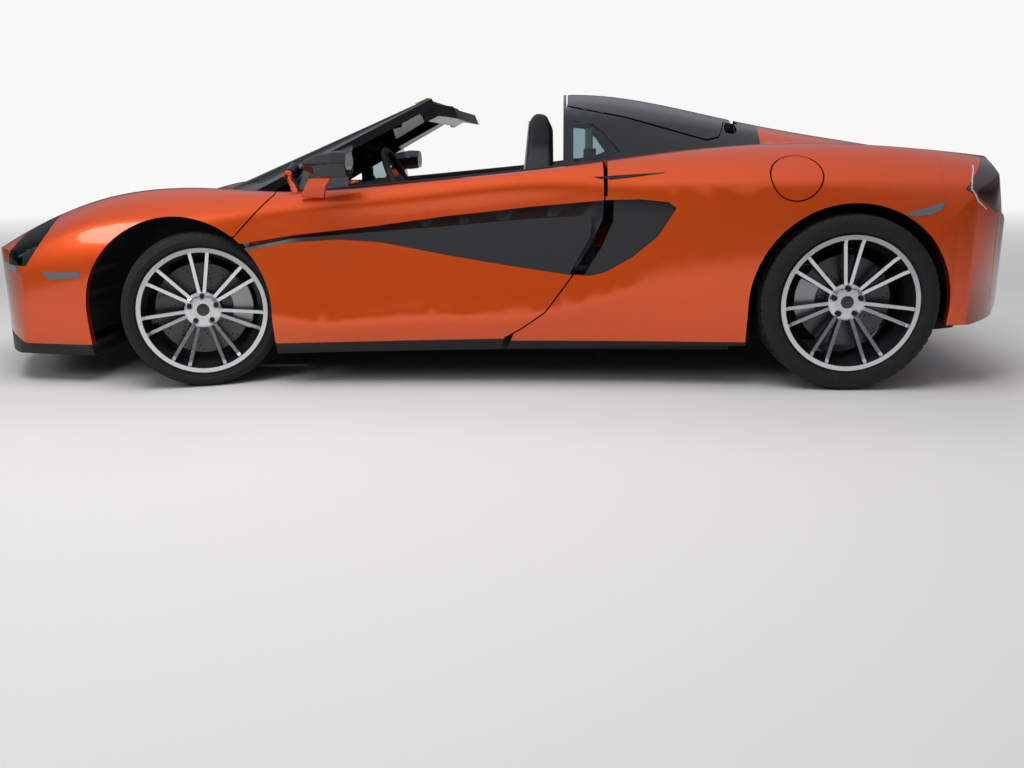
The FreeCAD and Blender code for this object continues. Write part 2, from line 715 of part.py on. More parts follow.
def fuel_flap():
    plate = main_solid(skin(flap_disc(FLAP_RADIUS, 40, 40), FLAP_THICKNESS))
    pin, outward, upward = flap_pin_line()
    eye = Part.makeCylinder(FLAP_PIN_RADIUS + 3, 16, pin - upward * 8, upward)
    bore = Part.makeCylinder(FLAP_PIN_RADIUS + FIT, 40, pin - upward * 20, upward)
    deep = pin - outward * 26
    back = deep + vec(46, 0, 0)
    neck = [
        rod(pin, deep, 4), Part.makeSphere(4, deep),
        rod(deep, back, 4), Part.makeSphere(4, back),
        rod(back, back + outward * 33, 4),
    ]
    return main_solid(fuse(plate, eye, *neck).cut(bore))


def flap_pocket(quarter):
    """Cuts the filler opening and the room for the arm, and adds the pin."""
    pin, outward, upward = flap_pin_line()
    hole = flap_disc(FLAP_RADIUS + GAP, 60, 60)
    room = Part.makeBox(64, 60, 24, pin - vec(30, 0, 0))
    room.rotate(pin - vec(30, 0, 0), vec(1, 0, 0), -FLAP_TILT)
    room.translate(outward * 8 - upward * 12)
    pivot = Part.makeCylinder(FLAP_PIN_RADIUS, 40, pin - upward * 20, upward)
    return main_solid(fuse(cut(quarter, hole, room), pivot))


# Superstructure behind the seats: hoops and flying buttresses with the cover between them
HUMP_WALL = 26.0
COVER_LINE = [(1400, 1165), (1560, 1132), (1790, 1086), (2115, 993), (2168, 1003), (2210, 1085), (2400, 1085)]
COVER_START, COVER_BACK, COVER_HALF = 1548.0, 2232.0, 560.0
BACK_GAP = 14.0
# Hinge of the cover under the crests at its back edge: dx, z; eyes and lugs by their y
COVER_AXIS = (2222.0, 1036.0)
COVER_EYE = (444.0, 456.0)
COVER_LUG = (461.0, 473.0)
COVER_PIN_RADIUS = 4.0
COVER_EYE_RADIUS = 10.0
LUG_LINE = [(2217, 1031), (2228, 1031), (2262, 1012), (2262, 1052), (2290, 1052), (2290, 995), (2262, 995)]
# Hollows that the cover's back edge turns in, as (inner y, outer y, radius)
TURN_ROOM = [(150, 300, 27), (300, 400, 43), (400, 515, 50), (515, 560, 43), (560, 640, 27)]
# Side windows let into the flanks of the hoops, seen from the side
SIDE_WINDOW = [(1572, 905), (1572, 1072), (1640, 1066), (1705, 1020), (1760, 945), (1700, 920)]
WINDOW_DEPTH = 8.0


def cover_zone(gap, back):
    """Everything above the cover's line, ahead of its back edge, with a gap round it."""
    line = [(dx, z - gap) for dx, z in COVER_LINE]
    above = side_prism(from_front([*line, (2400, 1400), (1400, 1400)]), -CUT, CUT)
    middle = box(front(1400), front(2300), -COVER_HALF - gap, COVER_HALF + gap, 950 - gap, 1400)
    return fuse(above, middle).common(box(front(COVER_START) - gap, front(back), -CUT, CUT, 0, 1400))


def buttresses():
    """Hoops and flying buttresses, with side windows cut and the pins of the stowage cover."""
    shell_part = hump_shell(HUMP_WALL).common(box(front(1530), front(DECK_START), -CUT, CUT, 0, CUT))
    x, z = front(COVER_AXIS[0]), COVER_AXIS[1]
    window = side_prism(grown(from_front(SIDE_WINDOW), SEAM), 560, CUT)
    shell_part = cut(shell_part, body(0.0), cover_zone(GAP, COVER_BACK + BACK_GAP), window, mirrored(window))
    for inner, outer, radius in TURN_ROOM:
        turn = across(x, z, radius, inner, outer)
        shell_part = cut(shell_part, turn, mirrored(turn))
    lug = side_prism(from_front(LUG_LINE), *COVER_LUG)
    knuckle = across(x, z, COVER_PIN_RADIUS + 3, *COVER_LUG)
    pin = across(x, z, COVER_PIN_RADIUS, COVER_EYE[0] - 3, COVER_LUG[0] + 1)
    half = fuse(lug, knuckle, pin)
    return main_solid(fuse(shell_part, half, mirrored(half)))


def tonneau_cover():
    """Cover over the stowed roof, with its two hinge eyes."""
    piece = hump_shell(HUMP_WALL).common(box(front(1500), front(2320), -CUT, CUT, 930, CUT))
    piece = main_solid(piece.common(cover_zone(0.0, COVER_BACK)))
    x, z = front(COVER_AXIS[0]), COVER_AXIS[1]
    eye = across(x, z, COVER_EYE_RADIUS, *COVER_EYE)
    neck = box(x - 8, x + 8, *COVER_EYE, z, z + 22)
    half = fuse(eye, neck).cut(across(x, z, COVER_PIN_RADIUS + FIT, 400, 500))
    return main_solid(fuse(piece, half, mirrored(half)))


def side_window():
    """Pane of one side window, seated in the flank."""
    outline = side_prism(from_front(SIDE_WINDOW), 560, CUT)
    return main_solid(hump_shell(WINDOW_DEPTH).common(outline).cut(body(0.0)))


def vent_room():
    return box(front(VENT_X0), front(VENT_X1), -VENT_HALF, VENT_HALF, 800, CUT)


def engine_deck():
    region = box(front(DECK_START), rear(500), -DECK_HALF, DECK_HALF, 700, CUT)
    deck = skin(region).cut(humps(0.0))
    reach = box(front(DECK_START), front(2880), -DECK_HALF, DECK_HALF, 860, CUT)
    hump = hump_shell(HUMP_WALL).common(reach).cut(body(BLADE_THICKNESS))
    return main_solid(cut(fuse(deck, hump), vent_room()))


# Louvred cover over the engine, let into the deck
VENT_X0, VENT_X1, VENT_HALF = 2430.0, 2900.0, 380.0
VENT_FACE = [(VENT_X0, 972), (VENT_X1, 922)]
VENT_THICKNESS = 22.0
LOUVRES = 7


def engine_cover():
    """Sloping panel with open slots between its slats."""
    x0, x1 = front(VENT_X0) + SEAM, front(VENT_X1) - SEAM
    z0, z1 = VENT_FACE[0][1], VENT_FACE[1][1]
    half = VENT_HALF - SEAM
    under = VENT_THICKNESS
    panel = side_prism([(x0, z0), (x1, z1), (x1, z1 - under), (x0, z0 - under)], -half, half)
    pitch = (x1 - x0 - 40) / LOUVRES
    rib = box(-CUT, CUT, -14, 14, 0, CUT)
    for i in range(LOUVRES):
        x = x0 + 20 + pitch * (i + 0.2)
        line = [(x, 1100), (x + pitch * 0.5, 1100), (x + pitch * 0.5 - 60, 800), (x - 60, 800)]
        panel = panel.cut(side_prism(line, -half + 60, half - 60).cut(rib))
    return panel


# Cabin tub
TOE_X, BULKHEAD_X = front(430), front(1640)
COWL_FOOT_X = front(195)
FOOT_FRONT_X = front(10)
FOOT_HALF = 395.0
WALL = 28.0
BULKHEAD_TOP = 960.0
PEDAL_TOP = 600.0
TUNNEL_Z = 330.0


def tub():
    """Floor, sills, tunnel and bulkhead of the cabin cell."""
    outer = box(TOE_X, BULKHEAD_X + WALL, -TUB_HALF, TUB_HALF, FLOOR_Z, SILL_TOP_Z)
    cabin = box(TOE_X + WALL, BULKHEAD_X, -CABIN_HALF, CABIN_HALF, FLOOR_Z + FLOOR_THICKNESS, CUT)
    scallop = [
        (TOE_X - 1, SILL_TOP_Z - 60), (front(900), SILL_TOP_Z - 90), (front(1500), SILL_TOP_Z - 30),
        (front(1500), SILL_TOP_Z + 1), (TOE_X - 1, SILL_TOP_Z + 1),
    ]
    sill_cut = side_prism(scallop, CABIN_HALF + 60, CUT)
    wall_line = [(640, FLOOR_Z), (640, 700), (600, BULKHEAD_TOP)]
    bulkhead_line = [*wall_line, *[(-y, z) for y, z in reversed(wall_line)]]
    bulkhead = cross_prism(bulkhead_line, BULKHEAD_X, BULKHEAD_X + WALL)
    floor, back = FLOOR_Z + FLOOR_THICKNESS, TOE_X + WALL
    toe_wall = box(TOE_X, back, -TUB_HALF, TUB_HALF, FLOOR_Z, PEDAL_TOP + WALL)
    toe_hole = box(TOE_X - 1, back + 1, -FOOT_HALF, FOOT_HALF, floor, PEDAL_TOP)
    tunnel = box(TOE_X, BULKHEAD_X, -95, 95, FLOOR_Z, TUNNEL_Z)
    rocker = cut(outer, cabin, sill_cut, mirrored(sill_cut))
    shell_part = fuse(rocker, cut(toe_wall, toe_hole), bulkhead)
    feet = []
    for s in (-1, 1):
        feet.append(box(TOE_X, TOE_X + WALL, s * 715 - 35, s * 715 + 35, PEDAL_TOP, FOOT_TOP))
        feet.append(box(COWL_FOOT_X, TOE_X, s * 560 - 25, s * 560 + 25, COWL_Z - 40, COWL_Z))
        feet.append(box(TOE_X, TOE_X + WALL, s * 560 - 25, s * 560 + 25, PEDAL_TOP, COWL_Z))
    return fuse(shell_part, tunnel, *feet)


def footwell():
    """Box for the legs ahead of the tub, open to the cabin."""
    back, half = TOE_X - SEAM, FOOT_HALF + WALL
    outer = box(FOOT_FRONT_X - WALL, back, -half, half, FLOOR_Z, PEDAL_TOP + WALL)
    floor = FLOOR_Z + FLOOR_THICKNESS
    return outer.cut(box(FOOT_FRONT_X, back + 1, -FOOT_HALF, FOOT_HALF, floor, PEDAL_TOP))


# Front compartment
BIN_X0, BIN_X1, BIN_HALF = front(-790), front(-215), 420.0
BIN_Z0, BIN_Z1, BIN_WALL = 215.0, 540.0, 8.0


def luggage_bin():
    outer = box(BIN_X0, BIN_X1, -BIN_HALF, BIN_HALF, BIN_Z0, BIN_Z1)
    half = BIN_HALF - BIN_WALL
    inner = box(BIN_X0 + BIN_WALL, BIN_X1 - BIN_WALL, -half, half, BIN_Z0 + BIN_WALL, CUT)
    rim = box(BIN_X0 - 20, BIN_X1 + 20, -BIN_HALF - 40, BIN_HALF + 40, BIN_Z1 - BIN_WALL, BIN_Z1)
    return fuse(outer, rim).cut(inner)


def wishbone_pair(w, side, root_y, spread):
    """Upper and lower wishbones of one steered wheel, ending in the eyes of its ball pins."""
    kingpin_y = side * (w["track"] / 2 + w["hub"] - KINGPIN_BEHIND)
    arms = []
    for level in (-1, 1):
        z = w["radius"] + level * (BALL_HEIGHT + EYE_HEIGHT / 2)
        tip = vec(w["x"], kingpin_y, z)
        for end in (-1, 1):
            root = vec(w["x"] + end * spread, side * root_y[end], z)
            arms.append(rod(root, tip + (root - tip) * 0.04, 11))
        arms.append(Part.makeCylinder(EYE_RADIUS, EYE_HEIGHT, tip - vec(0, 0, EYE_HEIGHT / 2)))
    joined = fuse(*arms)
    bore = Part.makeCylinder(KINGPIN_RADIUS + FIT, 600, vec(w["x"], kingpin_y, w["radius"] - 300))
    between = vec(w["x"], kingpin_y, w["radius"] - BALL_HEIGHT)
    clearance = Part.makeCylinder(EYE_RADIUS + 20, 2 * BALL_HEIGHT, between)
    return cut(joined, bore, clearance)


FRAME_Y = 430.0
FRAME_HALF = 22.0
TOWER_HALF = 25.0


def frame_parts(x0, x1, z0, z1, legs):
    """Two rails and the upright towers, as (x, foot, top), that carry the wishbones."""
    pieces = []
    for s in (-1, 1):
        inner, outer = s * FRAME_Y - FRAME_HALF, s * FRAME_Y + FRAME_HALF
        pieces.append(box(x0, x1, inner, outer, z0, z1))
        for x, foot, top in legs:
            pieces.append(box(x - TOWER_HALF, x + TOWER_HALF, inner, outer, foot, top))
    return pieces


FRAME_TOP = 214.6
TOW_Y, TOW_Z, TOW_RADIUS = 450.0, 260.0, 9.0


def front_subframe():
    """Rails, crash beam and wishbones ahead of the tub."""
    w = WHEELS["front"]
    legs = [(front(-105), FRAME_TOP - 40, 470)]
    beam = box(front(-905), front(-840), -560, 560, SPLITTER_TOP + SEAM, FRAME_TOP)
    horns = [box(front(-905), front(-840), s * TOW_Y - 26, s * TOW_Y + 26, FRAME_TOP, 300) for s in (-1, 1)]
    roots = {-1: FRAME_Y, 1: FOOT_HALF + WALL + 4}
    arms = [wishbone_pair(w, s, roots, 105) for s in (-1, 1)]
    cross = box(front(-120), front(-80), -FRAME_Y, FRAME_Y, FRAME_TOP - 40, FRAME_TOP)
    rails = frame_parts(front(-850), FOOT_FRONT_X - WALL, FRAME_TOP - 40, FRAME_TOP, legs)
    tow_socket = rod(vec(front(-906), TOW_Y, TOW_Z), vec(front(-839), TOW_Y, TOW_Z), TOW_RADIUS)
    return fuse(*rails, beam, *horns, cross, *arms).cut(tow_socket)


REAR_RAIL_Z0, REAR_RAIL_Z1 = 400.0, 450.0
ENGINE_HALF, ENGINE_Z0, ENGINE_Z1 = 300.0, 190.0, 700.0


def rear_subframe():
    """Rails, crossmember and wishbones behind the bulkhead."""
    w = WHEELS["rear"]
    kingpin = w["track"] / 2 + w["hub"] - KINGPIN_BEHIND
    legs = [(rear(-140), 200, 520), (rear(140), 200, 520)]
    rails = frame_parts(BULKHEAD_X + WALL, rear(560), REAR_RAIL_Z0, REAR_RAIL_Z1, legs)
    cross = box(rear(520), rear(560), -620, 620, REAR_RAIL_Z0, REAR_RAIL_Z1)
    arms = []
    web_y = kingpin - UPRIGHT_THICKNESS / 2 - SEAM
    for s in (-1, 1):
        for level in (-1, 1):
            z = w["radius"] + level * REAR_ARM_HEIGHT
            tip = vec(w["x"], s * (web_y + 6), z)
            for end in (-1, 1):
                arms.append(rod(vec(w["x"] + end * 140, s * FRAME_Y, z), tip, 12))
    outboard = [box(-CUT, CUT, min(s * web_y, s * CUT), max(s * web_y, s * CUT), 0, CUT) for s in (-1, 1)]
    return cut(fuse(*rails, cross, *arms), *outboard)


def engine():
    """Engine with its gearbox, as one plain block on the rear rails."""
    block = box(front(1790), front(2380), -ENGINE_HALF, ENGINE_HALF, ENGINE_Z0, ENGINE_Z1)
    box_end = box(front(2380), rear(300), -190, 190, ENGINE_Z0 + 60, 540)
    mounts = box(front(1900), front(1980), -FRAME_Y, FRAME_Y, REAR_RAIL_Z1, REAR_RAIL_Z1 + 40)
    return fuse(block, box_end, mounts)


def arch_liner(axle):
    """Thin wheelhouse of one right-hand wheel, open at the bottom and outside."""
    arch = ARCHES[axle]
    x, z, r, y0 = arch["x"], arch["z"], arch["liner"], arch["inner_y"]
    y1 = 960.0
    low = 215.0
    outer = fuse(across(x, z, r, y0, y1), box(x - r, x + r, y0, y1, low, z))
    room, room_y = r - LINER_WALL, y0 + LINER_WALL
    inner = fuse(across(x, z, room, room_y, y1 + 5), box(x - room, x + room, room_y, y1 + 5, low - 5, z))
    shell_part = outer.cut(inner)
    gate = box(x - 190, x + 190, y0 - 5, y0 + 40, low - 5, z + 215)
    door_side = box(front(150), front(700), LINER_OUT, CUT, 0, CUT)
    return main_solid(cut(shell_part.common(body(SKIN)), gate, door_side, box(-CUT, CUT, 0, CUT, 0, low)))


# Cowl, screen and cabin
COWL_Z = 690.0
BONNET_AXIS = (-128.0, 708.0)
BONNET_EYE_Y = 500.0
BONNET_EYE_HALF = 9.0
PIN_RADIUS = 5.0


def cowl():
    """Sunken tray between the front lid and the screen, with the lid's hinge pins."""
    plan = plan_prism(whole_outline([(-184, 0), (-169, 300), (-134, 588), *COWL_BACK]), COWL_Z, CUT)
    tray = body(POCKET_DEPTH).common(plan)
    wheelhouse = arch_cut("front", "liner", ARCHES["front"]["inner_y"] - SEAM, CUT, SEAM)
    tray = main_solid(cut(tray, wheelhouse, mirrored(wheelhouse)))
    x, z = front(BONNET_AXIS[0]), BONNET_AXIS[1]
    pieces = [tray]
    for s in (-1, 1):
        y = s * BONNET_EYE_Y
        notch = box(x - 40, x + 22, y - BONNET_EYE_HALF - GAP, y + BONNET_EYE_HALF + GAP, z - 60, z + 60)
        pieces[0] = pieces[0].cut(notch)
        for side in (-1, 1):
            edge = y + side * (BONNET_EYE_HALF + GAP)
            lug = sorted((edge, edge + side * 14))
            pieces.append(box(x - 9, x + 60, *lug, z - 14, z + 9))
        reach = BONNET_EYE_HALF + GAP + 5
        pieces.append(across(x, z, PIN_RADIUS, y - reach, y + reach))
    return fuse(*pieces)


def bonnet_with_eyes():
    lid = bonnet()
    x, z = front(BONNET_AXIS[0]), BONNET_AXIS[1]
    pieces, bores = [lid], []
    for s in (-1, 1):
        y0, y1 = s * BONNET_EYE_Y - BONNET_EYE_HALF, s * BONNET_EYE_Y + BONNET_EYE_HALF
        pieces.append(across(x, z, PIN_RADIUS + 5, y0, y1))
        arm = [(x - 3, z - 9), (x + 3, z + 9), (x - 50, z + 32), (x - 80, z + 26)]
        pieces.append(side_prism(arm, y0, y1))
        bores.append(across(x, z, PIN_RADIUS + FIT, y0 - 1, y1 + 1))
    return main_solid(cut(fuse(*pieces), *bores))


FRAME_SIDE = 52.0
FRAME_DEPTH = 34.0
HEADER_START = 0.93
HEADER_DEPTH = 78.0
HEADER_SIDE = 14.0
HEADER_LIP = Vector(85, 0, -12)
GLASS_DEPTH = 7.0
GLASS_FOOT, GLASS_HEAD = 0.075, 0.945
FOOT_TOP = 736.0


def windscreen_frame():
    band = screen_band(0.0, 1.0, 0.0, 0.0, FRAME_DEPTH)
    header = screen_band(HEADER_START, 1.0, HEADER_SIDE, 10.0, HEADER_DEPTH)
    edges = [Part.Arc(*screen_arc(1.0, HEADER_SIDE, depth)).toShape() for depth in (24.0, HEADER_DEPTH)]
    lip = Part.makeRuledSurface(*edges).extrude(HEADER_LIP)
    opening = screen_band(GLASS_FOOT, GLASS_HEAD, FRAME_SIDE, -60.0, 90.0)
    foot = box(front(405), TOE_X + WALL, 650, 722, FOOT_TOP + SEAM, 872)
    side, middle, _ = screen_arc(0.02, 0, 0)
    base = Part.Arc(vec(side.x, side.y, 640), vec(middle.x, 0, 640), vec(side.x, -side.y, 640)).toShape()
    apron = base.extrude(vec(16, 0, 0)).extrude(vec(0, 0, 130)).cut(body(POCKET_DEPTH))
    inboard = Vector(HINGE_LEAN).normalize()
    half_pin = inboard * (HINGE_PIN_LENGTH / 2)
    pin = rod(HINGE_AT - half_pin, HINGE_AT + half_pin, HINGE_PIN_RADIUS)
    boss = rod(HINGE_AT + inboard * GAP / 2, HINGE_AT + inboard * 50, HINGE_EYE_RADIUS)
    arm = rod(HINGE_AT + inboard * 34, vec(front(434), 668, 862), 16)
    half = fuse(foot, pin, boss, arm)
    surround = band.cut(opening).fuse(header.fuse(lip)).cut(opening)
    return main_solid(fuse(surround, apron, half, mirrored(half)))


def windscreen_glass():
    return screen_band(GLASS_FOOT + 0.0006, GLASS_HEAD - 0.0006, FRAME_SIDE + SEAM, 4.0, 4.0 + GLASS_DEPTH)


DASH = [
    (330, COWL_Z + SEAM), (330, 742), (420, 790), (560, 812), (640, 800), (668, 760),
    (655, 690), (600, 640), (560, 560), (470, 600), (460, 620), (460, COWL_Z + SEAM),
]
CONSOLE_Z = TUNNEL_Z + SEAM
CONSOLE = [
    (560, 620), (640, 640), (700, 560), (820, 470), (1180, 455), (1560, 520),
    (1600, 700), (1612, 700), (1612, CONSOLE_Z), (560, CONSOLE_Z),
]


def dashboard():
    top = side_prism(from_front(DASH), -635, 635)
    console = side_prism(from_front(CONSOLE), -88, 88)
    return fuse(top, console)


SEAT_Y = 360.0
SEAT_OUTLINE = [
    (960, 190), (940, 330), (975, 372), (1060, 368), (1215, 300), (1270, 330),
    (1330, 600), (1365, 860), (1380, 1010), (1386, 1085), (1412, 1110), (1456, 1104),
    (1476, 1060), (1478, 860), (1440, 560), (1400, 260), (1380, 190),
]
SEAT_DISH = [
    (900, 420), (1000, 322), (1080, 316), (1225, 258), (1305, 318),
    (1368, 640), (1392, 860), (1360, 872), (1300, 700), (1200, 520),
]
# Half of the seat seen from the front, as (y from its middle, z)
SEAT_FRONT = [(234, 0), (234, 700), (215, 860), (130, 960), (115, 1200)]


def seat():
    """Bucket seat with raised side bolsters and a slim head part."""
    whole_seat = side_prism(from_front(SEAT_OUTLINE), SEAT_Y - 234, SEAT_Y + 234)
    dish = side_prism(from_front(SEAT_DISH), SEAT_Y - 150, SEAT_Y + 150)
    right = [(SEAT_Y + y, z) for y, z in SEAT_FRONT]
    left = [(SEAT_Y - y, z) for y, z in reversed(SEAT_FRONT)]
    front_view = cross_prism([*right, *left], front(800), front(1700))
    rails = box(front(1000), front(1370), SEAT_Y - 150, SEAT_Y + 150, FLOOR_Z + FLOOR_THICKNESS, 200)
    return fuse(whole_seat.common(front_view).cut(dish), rails)


STEERING_AT = Vector(FRONT_AXLE_X + 800, -365, 800)
STEERING_RAKE = 24.0
STEERING_RADIUS = 172.0
STEERING_GRIP = 15.0


def steering_wheel():
    rim = Part.makeTorus(STEERING_RADIUS, STEERING_GRIP, vec(0, 0, 0), vec(0, 0, 1))
    hub = Part.makeCylinder(52, 34, vec(0, 0, -17))
    arms = [box(30, STEERING_RADIUS, -15, 15, -7, 7) for _ in range(3)]
    for arm, angle in zip(arms, (0, 180, 270)):
        arm.rotate(vec(0, 0, 0), vec(0, 0, 1), angle)
    column = Part.makeCylinder(26, 160, vec(0, 0, -176))
    piece = fuse(rim, hub, *arms, column)
    piece.rotate(vec(0, 0, 0), vec(0, 0, 1), 90)
    piece.rotate(vec(0, 0, 0), vec(0, 1, 0), 90 - STEERING_RAKE)
    piece.translate(STEERING_AT)
    return main_solid(piece.cut(dashboard()))


MIRROR_AT = (600.0, 955.0, 906.0)
# Sections of the mirror housing, nose to glass: dx, half width, half height, lift
MIRROR_SECTIONS = [(-96, 26, 18, -4), (-40, 68, 44, -4), (40, 92, 54, 0), (92, 88, 50, 2)]
MIRROR_CORNERS = [(-1, 0.3), (-0.55, 1), (0.6, 0.9), (1, 0.1), (0.7, -0.9), (-0.7, -1)]
# Sections of its stalk, foot to head: front dx, rear dx, y, z
STALK_SECTIONS = [(470, 570, 872, 778), (500, 585, 900, 822), (530, 620, 915, 870)]
STALK_WIDTH = 24.0


def door_mirror():
    """Mirror housing on its stalk, tapering forwards; the glass faces the rear."""
    x, y, z = front(MIRROR_AT[0]), MIRROR_AT[1], MIRROR_AT[2]
    wires = []
    for dx, half_w, half_h, lift in MIRROR_SECTIONS:
        c = vec(x + dx, y + (92 - half_w) * -0.35, z + lift)
        corners = [c + vec(0, half_w * cy, half_h * cz) for cy, cz in MIRROR_CORNERS]
        wires.append(Part.makePolygon([*corners, corners[0]]))
    head = Part.makeLoft(wires, True, True)
    stalk_lines = []
    for dx0, dx1, y0, z0 in STALK_SECTIONS:
        x0, x1, y1 = front(dx0), front(dx1), y0 + STALK_WIDTH
        points = [vec(x0, y0, z0), vec(x1, y0, z0 - 6), vec(x1, y1, z0 - 6), vec(x0, y1, z0)]
        stalk_lines.append(Part.makePolygon([*points, points[0]]))
    stalk = Part.makeLoft(stalk_lines, True, True)
    return main_solid(fuse(head, stalk).cut(body(0.0)))


# The pane's plane starts on the belt and leans in towards the pillar; corners as (along, up) in it
PANE_AT = Vector(FRONT_AXLE_X + 345, 790, 790)
PANE_ALONG = Vector(1.0, 0.023, 0.03)
PANE_UP = Vector(0.0, -0.628, 0.779)
PANE_CORNERS = [(60, 0), (300, 0), (300, 236), (118, 134), (92, 80), (62, 40)]
PANE_THICKNESS = 6.0


def quarter_pane():
    """Small fixed pane ahead of the mirror, standing on the door."""
    outline = [PANE_AT + PANE_ALONG * along + PANE_UP * up for along, up in PANE_CORNERS]
    outward = PANE_ALONG.cross(PANE_UP).normalize() * -PANE_THICKNESS
    pane = polygon(outline).extrude(outward)
    return main_solid(cut(pane, body(0.0), door_mirror()))


# Rear bumper, lamps and underbody
REAR_OPENING = [(-480, 430), (-540, 560), (-515, 690), (515, 690), (540, 560), (480, 430)]
BUMPER_BOTTOM = 262.0
LAMP_SLOT = [(3085, 796), (3205, 930), (3480, 930), (3480, 705), (3238, 705)]
LAMP_START_Y = 540.0
DECK_BACK = rear(500)
LAMP_Y = DECK_HALF + SEAM
lamp_slots = both(side_prism(grown(from_front(LAMP_SLOT), SEAM), LAMP_START_Y, CUT))
deck_room = box(-CUT, DECK_BACK + SEAM, -LAMP_Y, LAMP_Y, 700, CUT)


def rear_bumper():
    region = box(front(QUARTER_END) + SEAM, CUT, -CUT, CUT, BUMPER_BOTTOM, CUT)
    opening = cross_prism(REAR_OPENING, rear(540), CUT)
    return main_solid(cut(skin(region), deck_room, opening, rear_arch, mirrored(rear_arch), lamp_slots))


def tail_lamp():
    return main_solid(skin(side_prism(from_front(LAMP_SLOT), LAMP_START_Y + SEAM, CUT)).cut(deck_room))


def rear_grille():
    """Dark panel behind the opening of the rear bumper, with room for the two tailpipes."""
    region = cross_prism(grown(REAR_OPENING, 25), rear(540), CUT)
    panel = skin(region, POCKET_DEPTH, SKIN)
    for s in (-1, 1):
        start, end = vec(rear(400), s * PIPE_Y, PIPE_Z), vec(TAIL_X, s * PIPE_Y, PIPE_Z)
        panel = panel.cut(rod(start, end, PIPE_RADIUS + GAP))
    return main_solid(panel)


PIPE_Y, PIPE_Z, PIPE_RADIUS, PIPE_WALL = 330.0, 508.0, 54.0, 4.0


def exhausts():
    """Silencer on the rear rails with its two tailpipes."""
    silencer = box(rear(360), rear(520) - SEAM, -FRAME_Y, FRAME_Y, REAR_RAIL_Z1, 560)
    pipes, bores = [], []
    for s in (-1, 1):
        start, end = vec(rear(500), s * PIPE_Y, PIPE_Z), vec(TAIL_X - 30, s * PIPE_Y, PIPE_Z)
        pipes.append(rod(start, end, PIPE_RADIUS))
        bores.append(rod(start + vec(60, 0, 0), end + vec(10, 0, 0), PIPE_RADIUS - PIPE_WALL))
    return fuse(silencer, *pipes).cut(bores[0]).cut(bores[1])


FINS = (-520, -312, -104, 104, 312, 520)
DIFFUSER_HALF = 590.0


def diffuser():
    """Rising floor behind the rear axle with its fins."""
    x0, x1, x2 = rear(300), rear(430), TAIL_X - 170
    top = BUMPER_BOTTOM - SEAM
    plate_line = [(x0, 165), (x0, 185), (x1, top), (x2, top), (x2, top - 22), (x1, top - 22)]
    plate = side_prism(plate_line, -DIFFUSER_HALF, DIFFUSER_HALF)
    fin_line = [(x0 + 60, 158), (x0, 175), (x1, top - 12), (x2, top - 12), (x2 - 20, 185)]
    fins = [side_prism(fin_line, y - 6, y + 6) for y in FINS]
    return fuse(plate, *fins)


def rear_skirt():
    region = box(front(DOOR_REAR[-1][0]), front(2300), TUB_HALF + SEAM, CUT, 0, SKIRT_TOP)
    return main_solid(cut(body(0.0).common(region), door_hole, rear_arch, swing_low()))


UNDERTRAY_HALF = [
    (-400, 0), (-400, 500), (360, 500), (440, 760), (2230, 760), (2230, 540), (2960, 540), (2960, 0),
]


def undertray():
    """Flat floor under the tub, between the wheelhouses."""
    outline = whole_outline(UNDERTRAY_HALF)
    return plan_prism(outline, FLOOR_Z - 15, FLOOR_Z - SEAM)


# Stowage bay and the screen behind the seats
BAY_X0, BAY_X1, BAY_HALF = BULKHEAD_X + WALL + SEAM, front(2290), 590.0
BAY_Z0, BAY_Z1, BAY_WALL = 770.0, 925.0, 7.0


def stowage_bay():
    outer = box(BAY_X0, BAY_X1, -BAY_HALF, BAY_HALF, BAY_Z0, BAY_Z1)
    half = BAY_HALF - BAY_WALL
    inner = box(BAY_X0 + BAY_WALL, BAY_X1 - BAY_WALL, -half, half, BAY_Z0 + BAY_WALL, CUT)
    return outer.cut(inner)


def rear_screen():
    """Small glass screen behind the seats, standing on the bulkhead."""
    sheet = box(BULKHEAD_X + 8, BULKHEAD_X + 14, -600, 600, BULKHEAD_TOP + SEAM, CUT)
    return main_solid(humps(HUMP_WALL + 8).common(sheet))


nodes["rear_quarter_right"] = rear_quarter()
nodes["rear_quarter_left"] = flap_pocket(mirrored(rear_quarter()))
nodes["fuel_flap"] = fuel_flap()
nodes["buttresses"] = buttresses()
nodes["tonneau_cover"] = tonneau_cover()
nodes["engine_deck"] = engine_deck()
nodes["engine_cover"] = engine_cover()
nodes["rear_bumper"] = rear_bumper()
nodes["rear_grille"] = rear_grille()
nodes["tail_lamps"] = both(tail_lamp())
nodes["exhausts"] = exhausts()
nodes["diffuser"] = diffuser()
nodes["scoop_panels"] = both(scoop_panel())
nodes["floor_and_skirts"] = Part.makeCompound([undertray(), *both(rear_skirt()).Solids])
nodes["stowage_bay"] = stowage_bay()
nodes["rear_glass"] = Part.makeCompound([rear_screen(), *both(side_window()).Solids])
nodes["cowl"] = cowl()
nodes["bonnet"] = bonnet_with_eyes()
nodes["windscreen_frame"] = windscreen_frame()
nodes["windscreen_glass"] = windscreen_glass()
nodes["dashboard"] = dashboard()
nodes["seats"] = both(seat())
nodes["steering_wheel"] = steering_wheel()
nodes["monocoque"] = tub()
nodes["footwell"] = footwell()
nodes["luggage_bin"] = luggage_bin()
nodes["front_subframe"] = front_subframe()
nodes["rear_subframe"] = rear_subframe()
nodes["engine_block"] = engine()
nodes["mirror_right"] = door_mirror()
nodes["quarter_pane_right"] = quarter_pane()
liners = [both(arch_liner(axle)) for axle in ARCHES]
nodes["arch_liners"] = Part.makeCompound([solid for pair in liners for solid in pair.Solids])

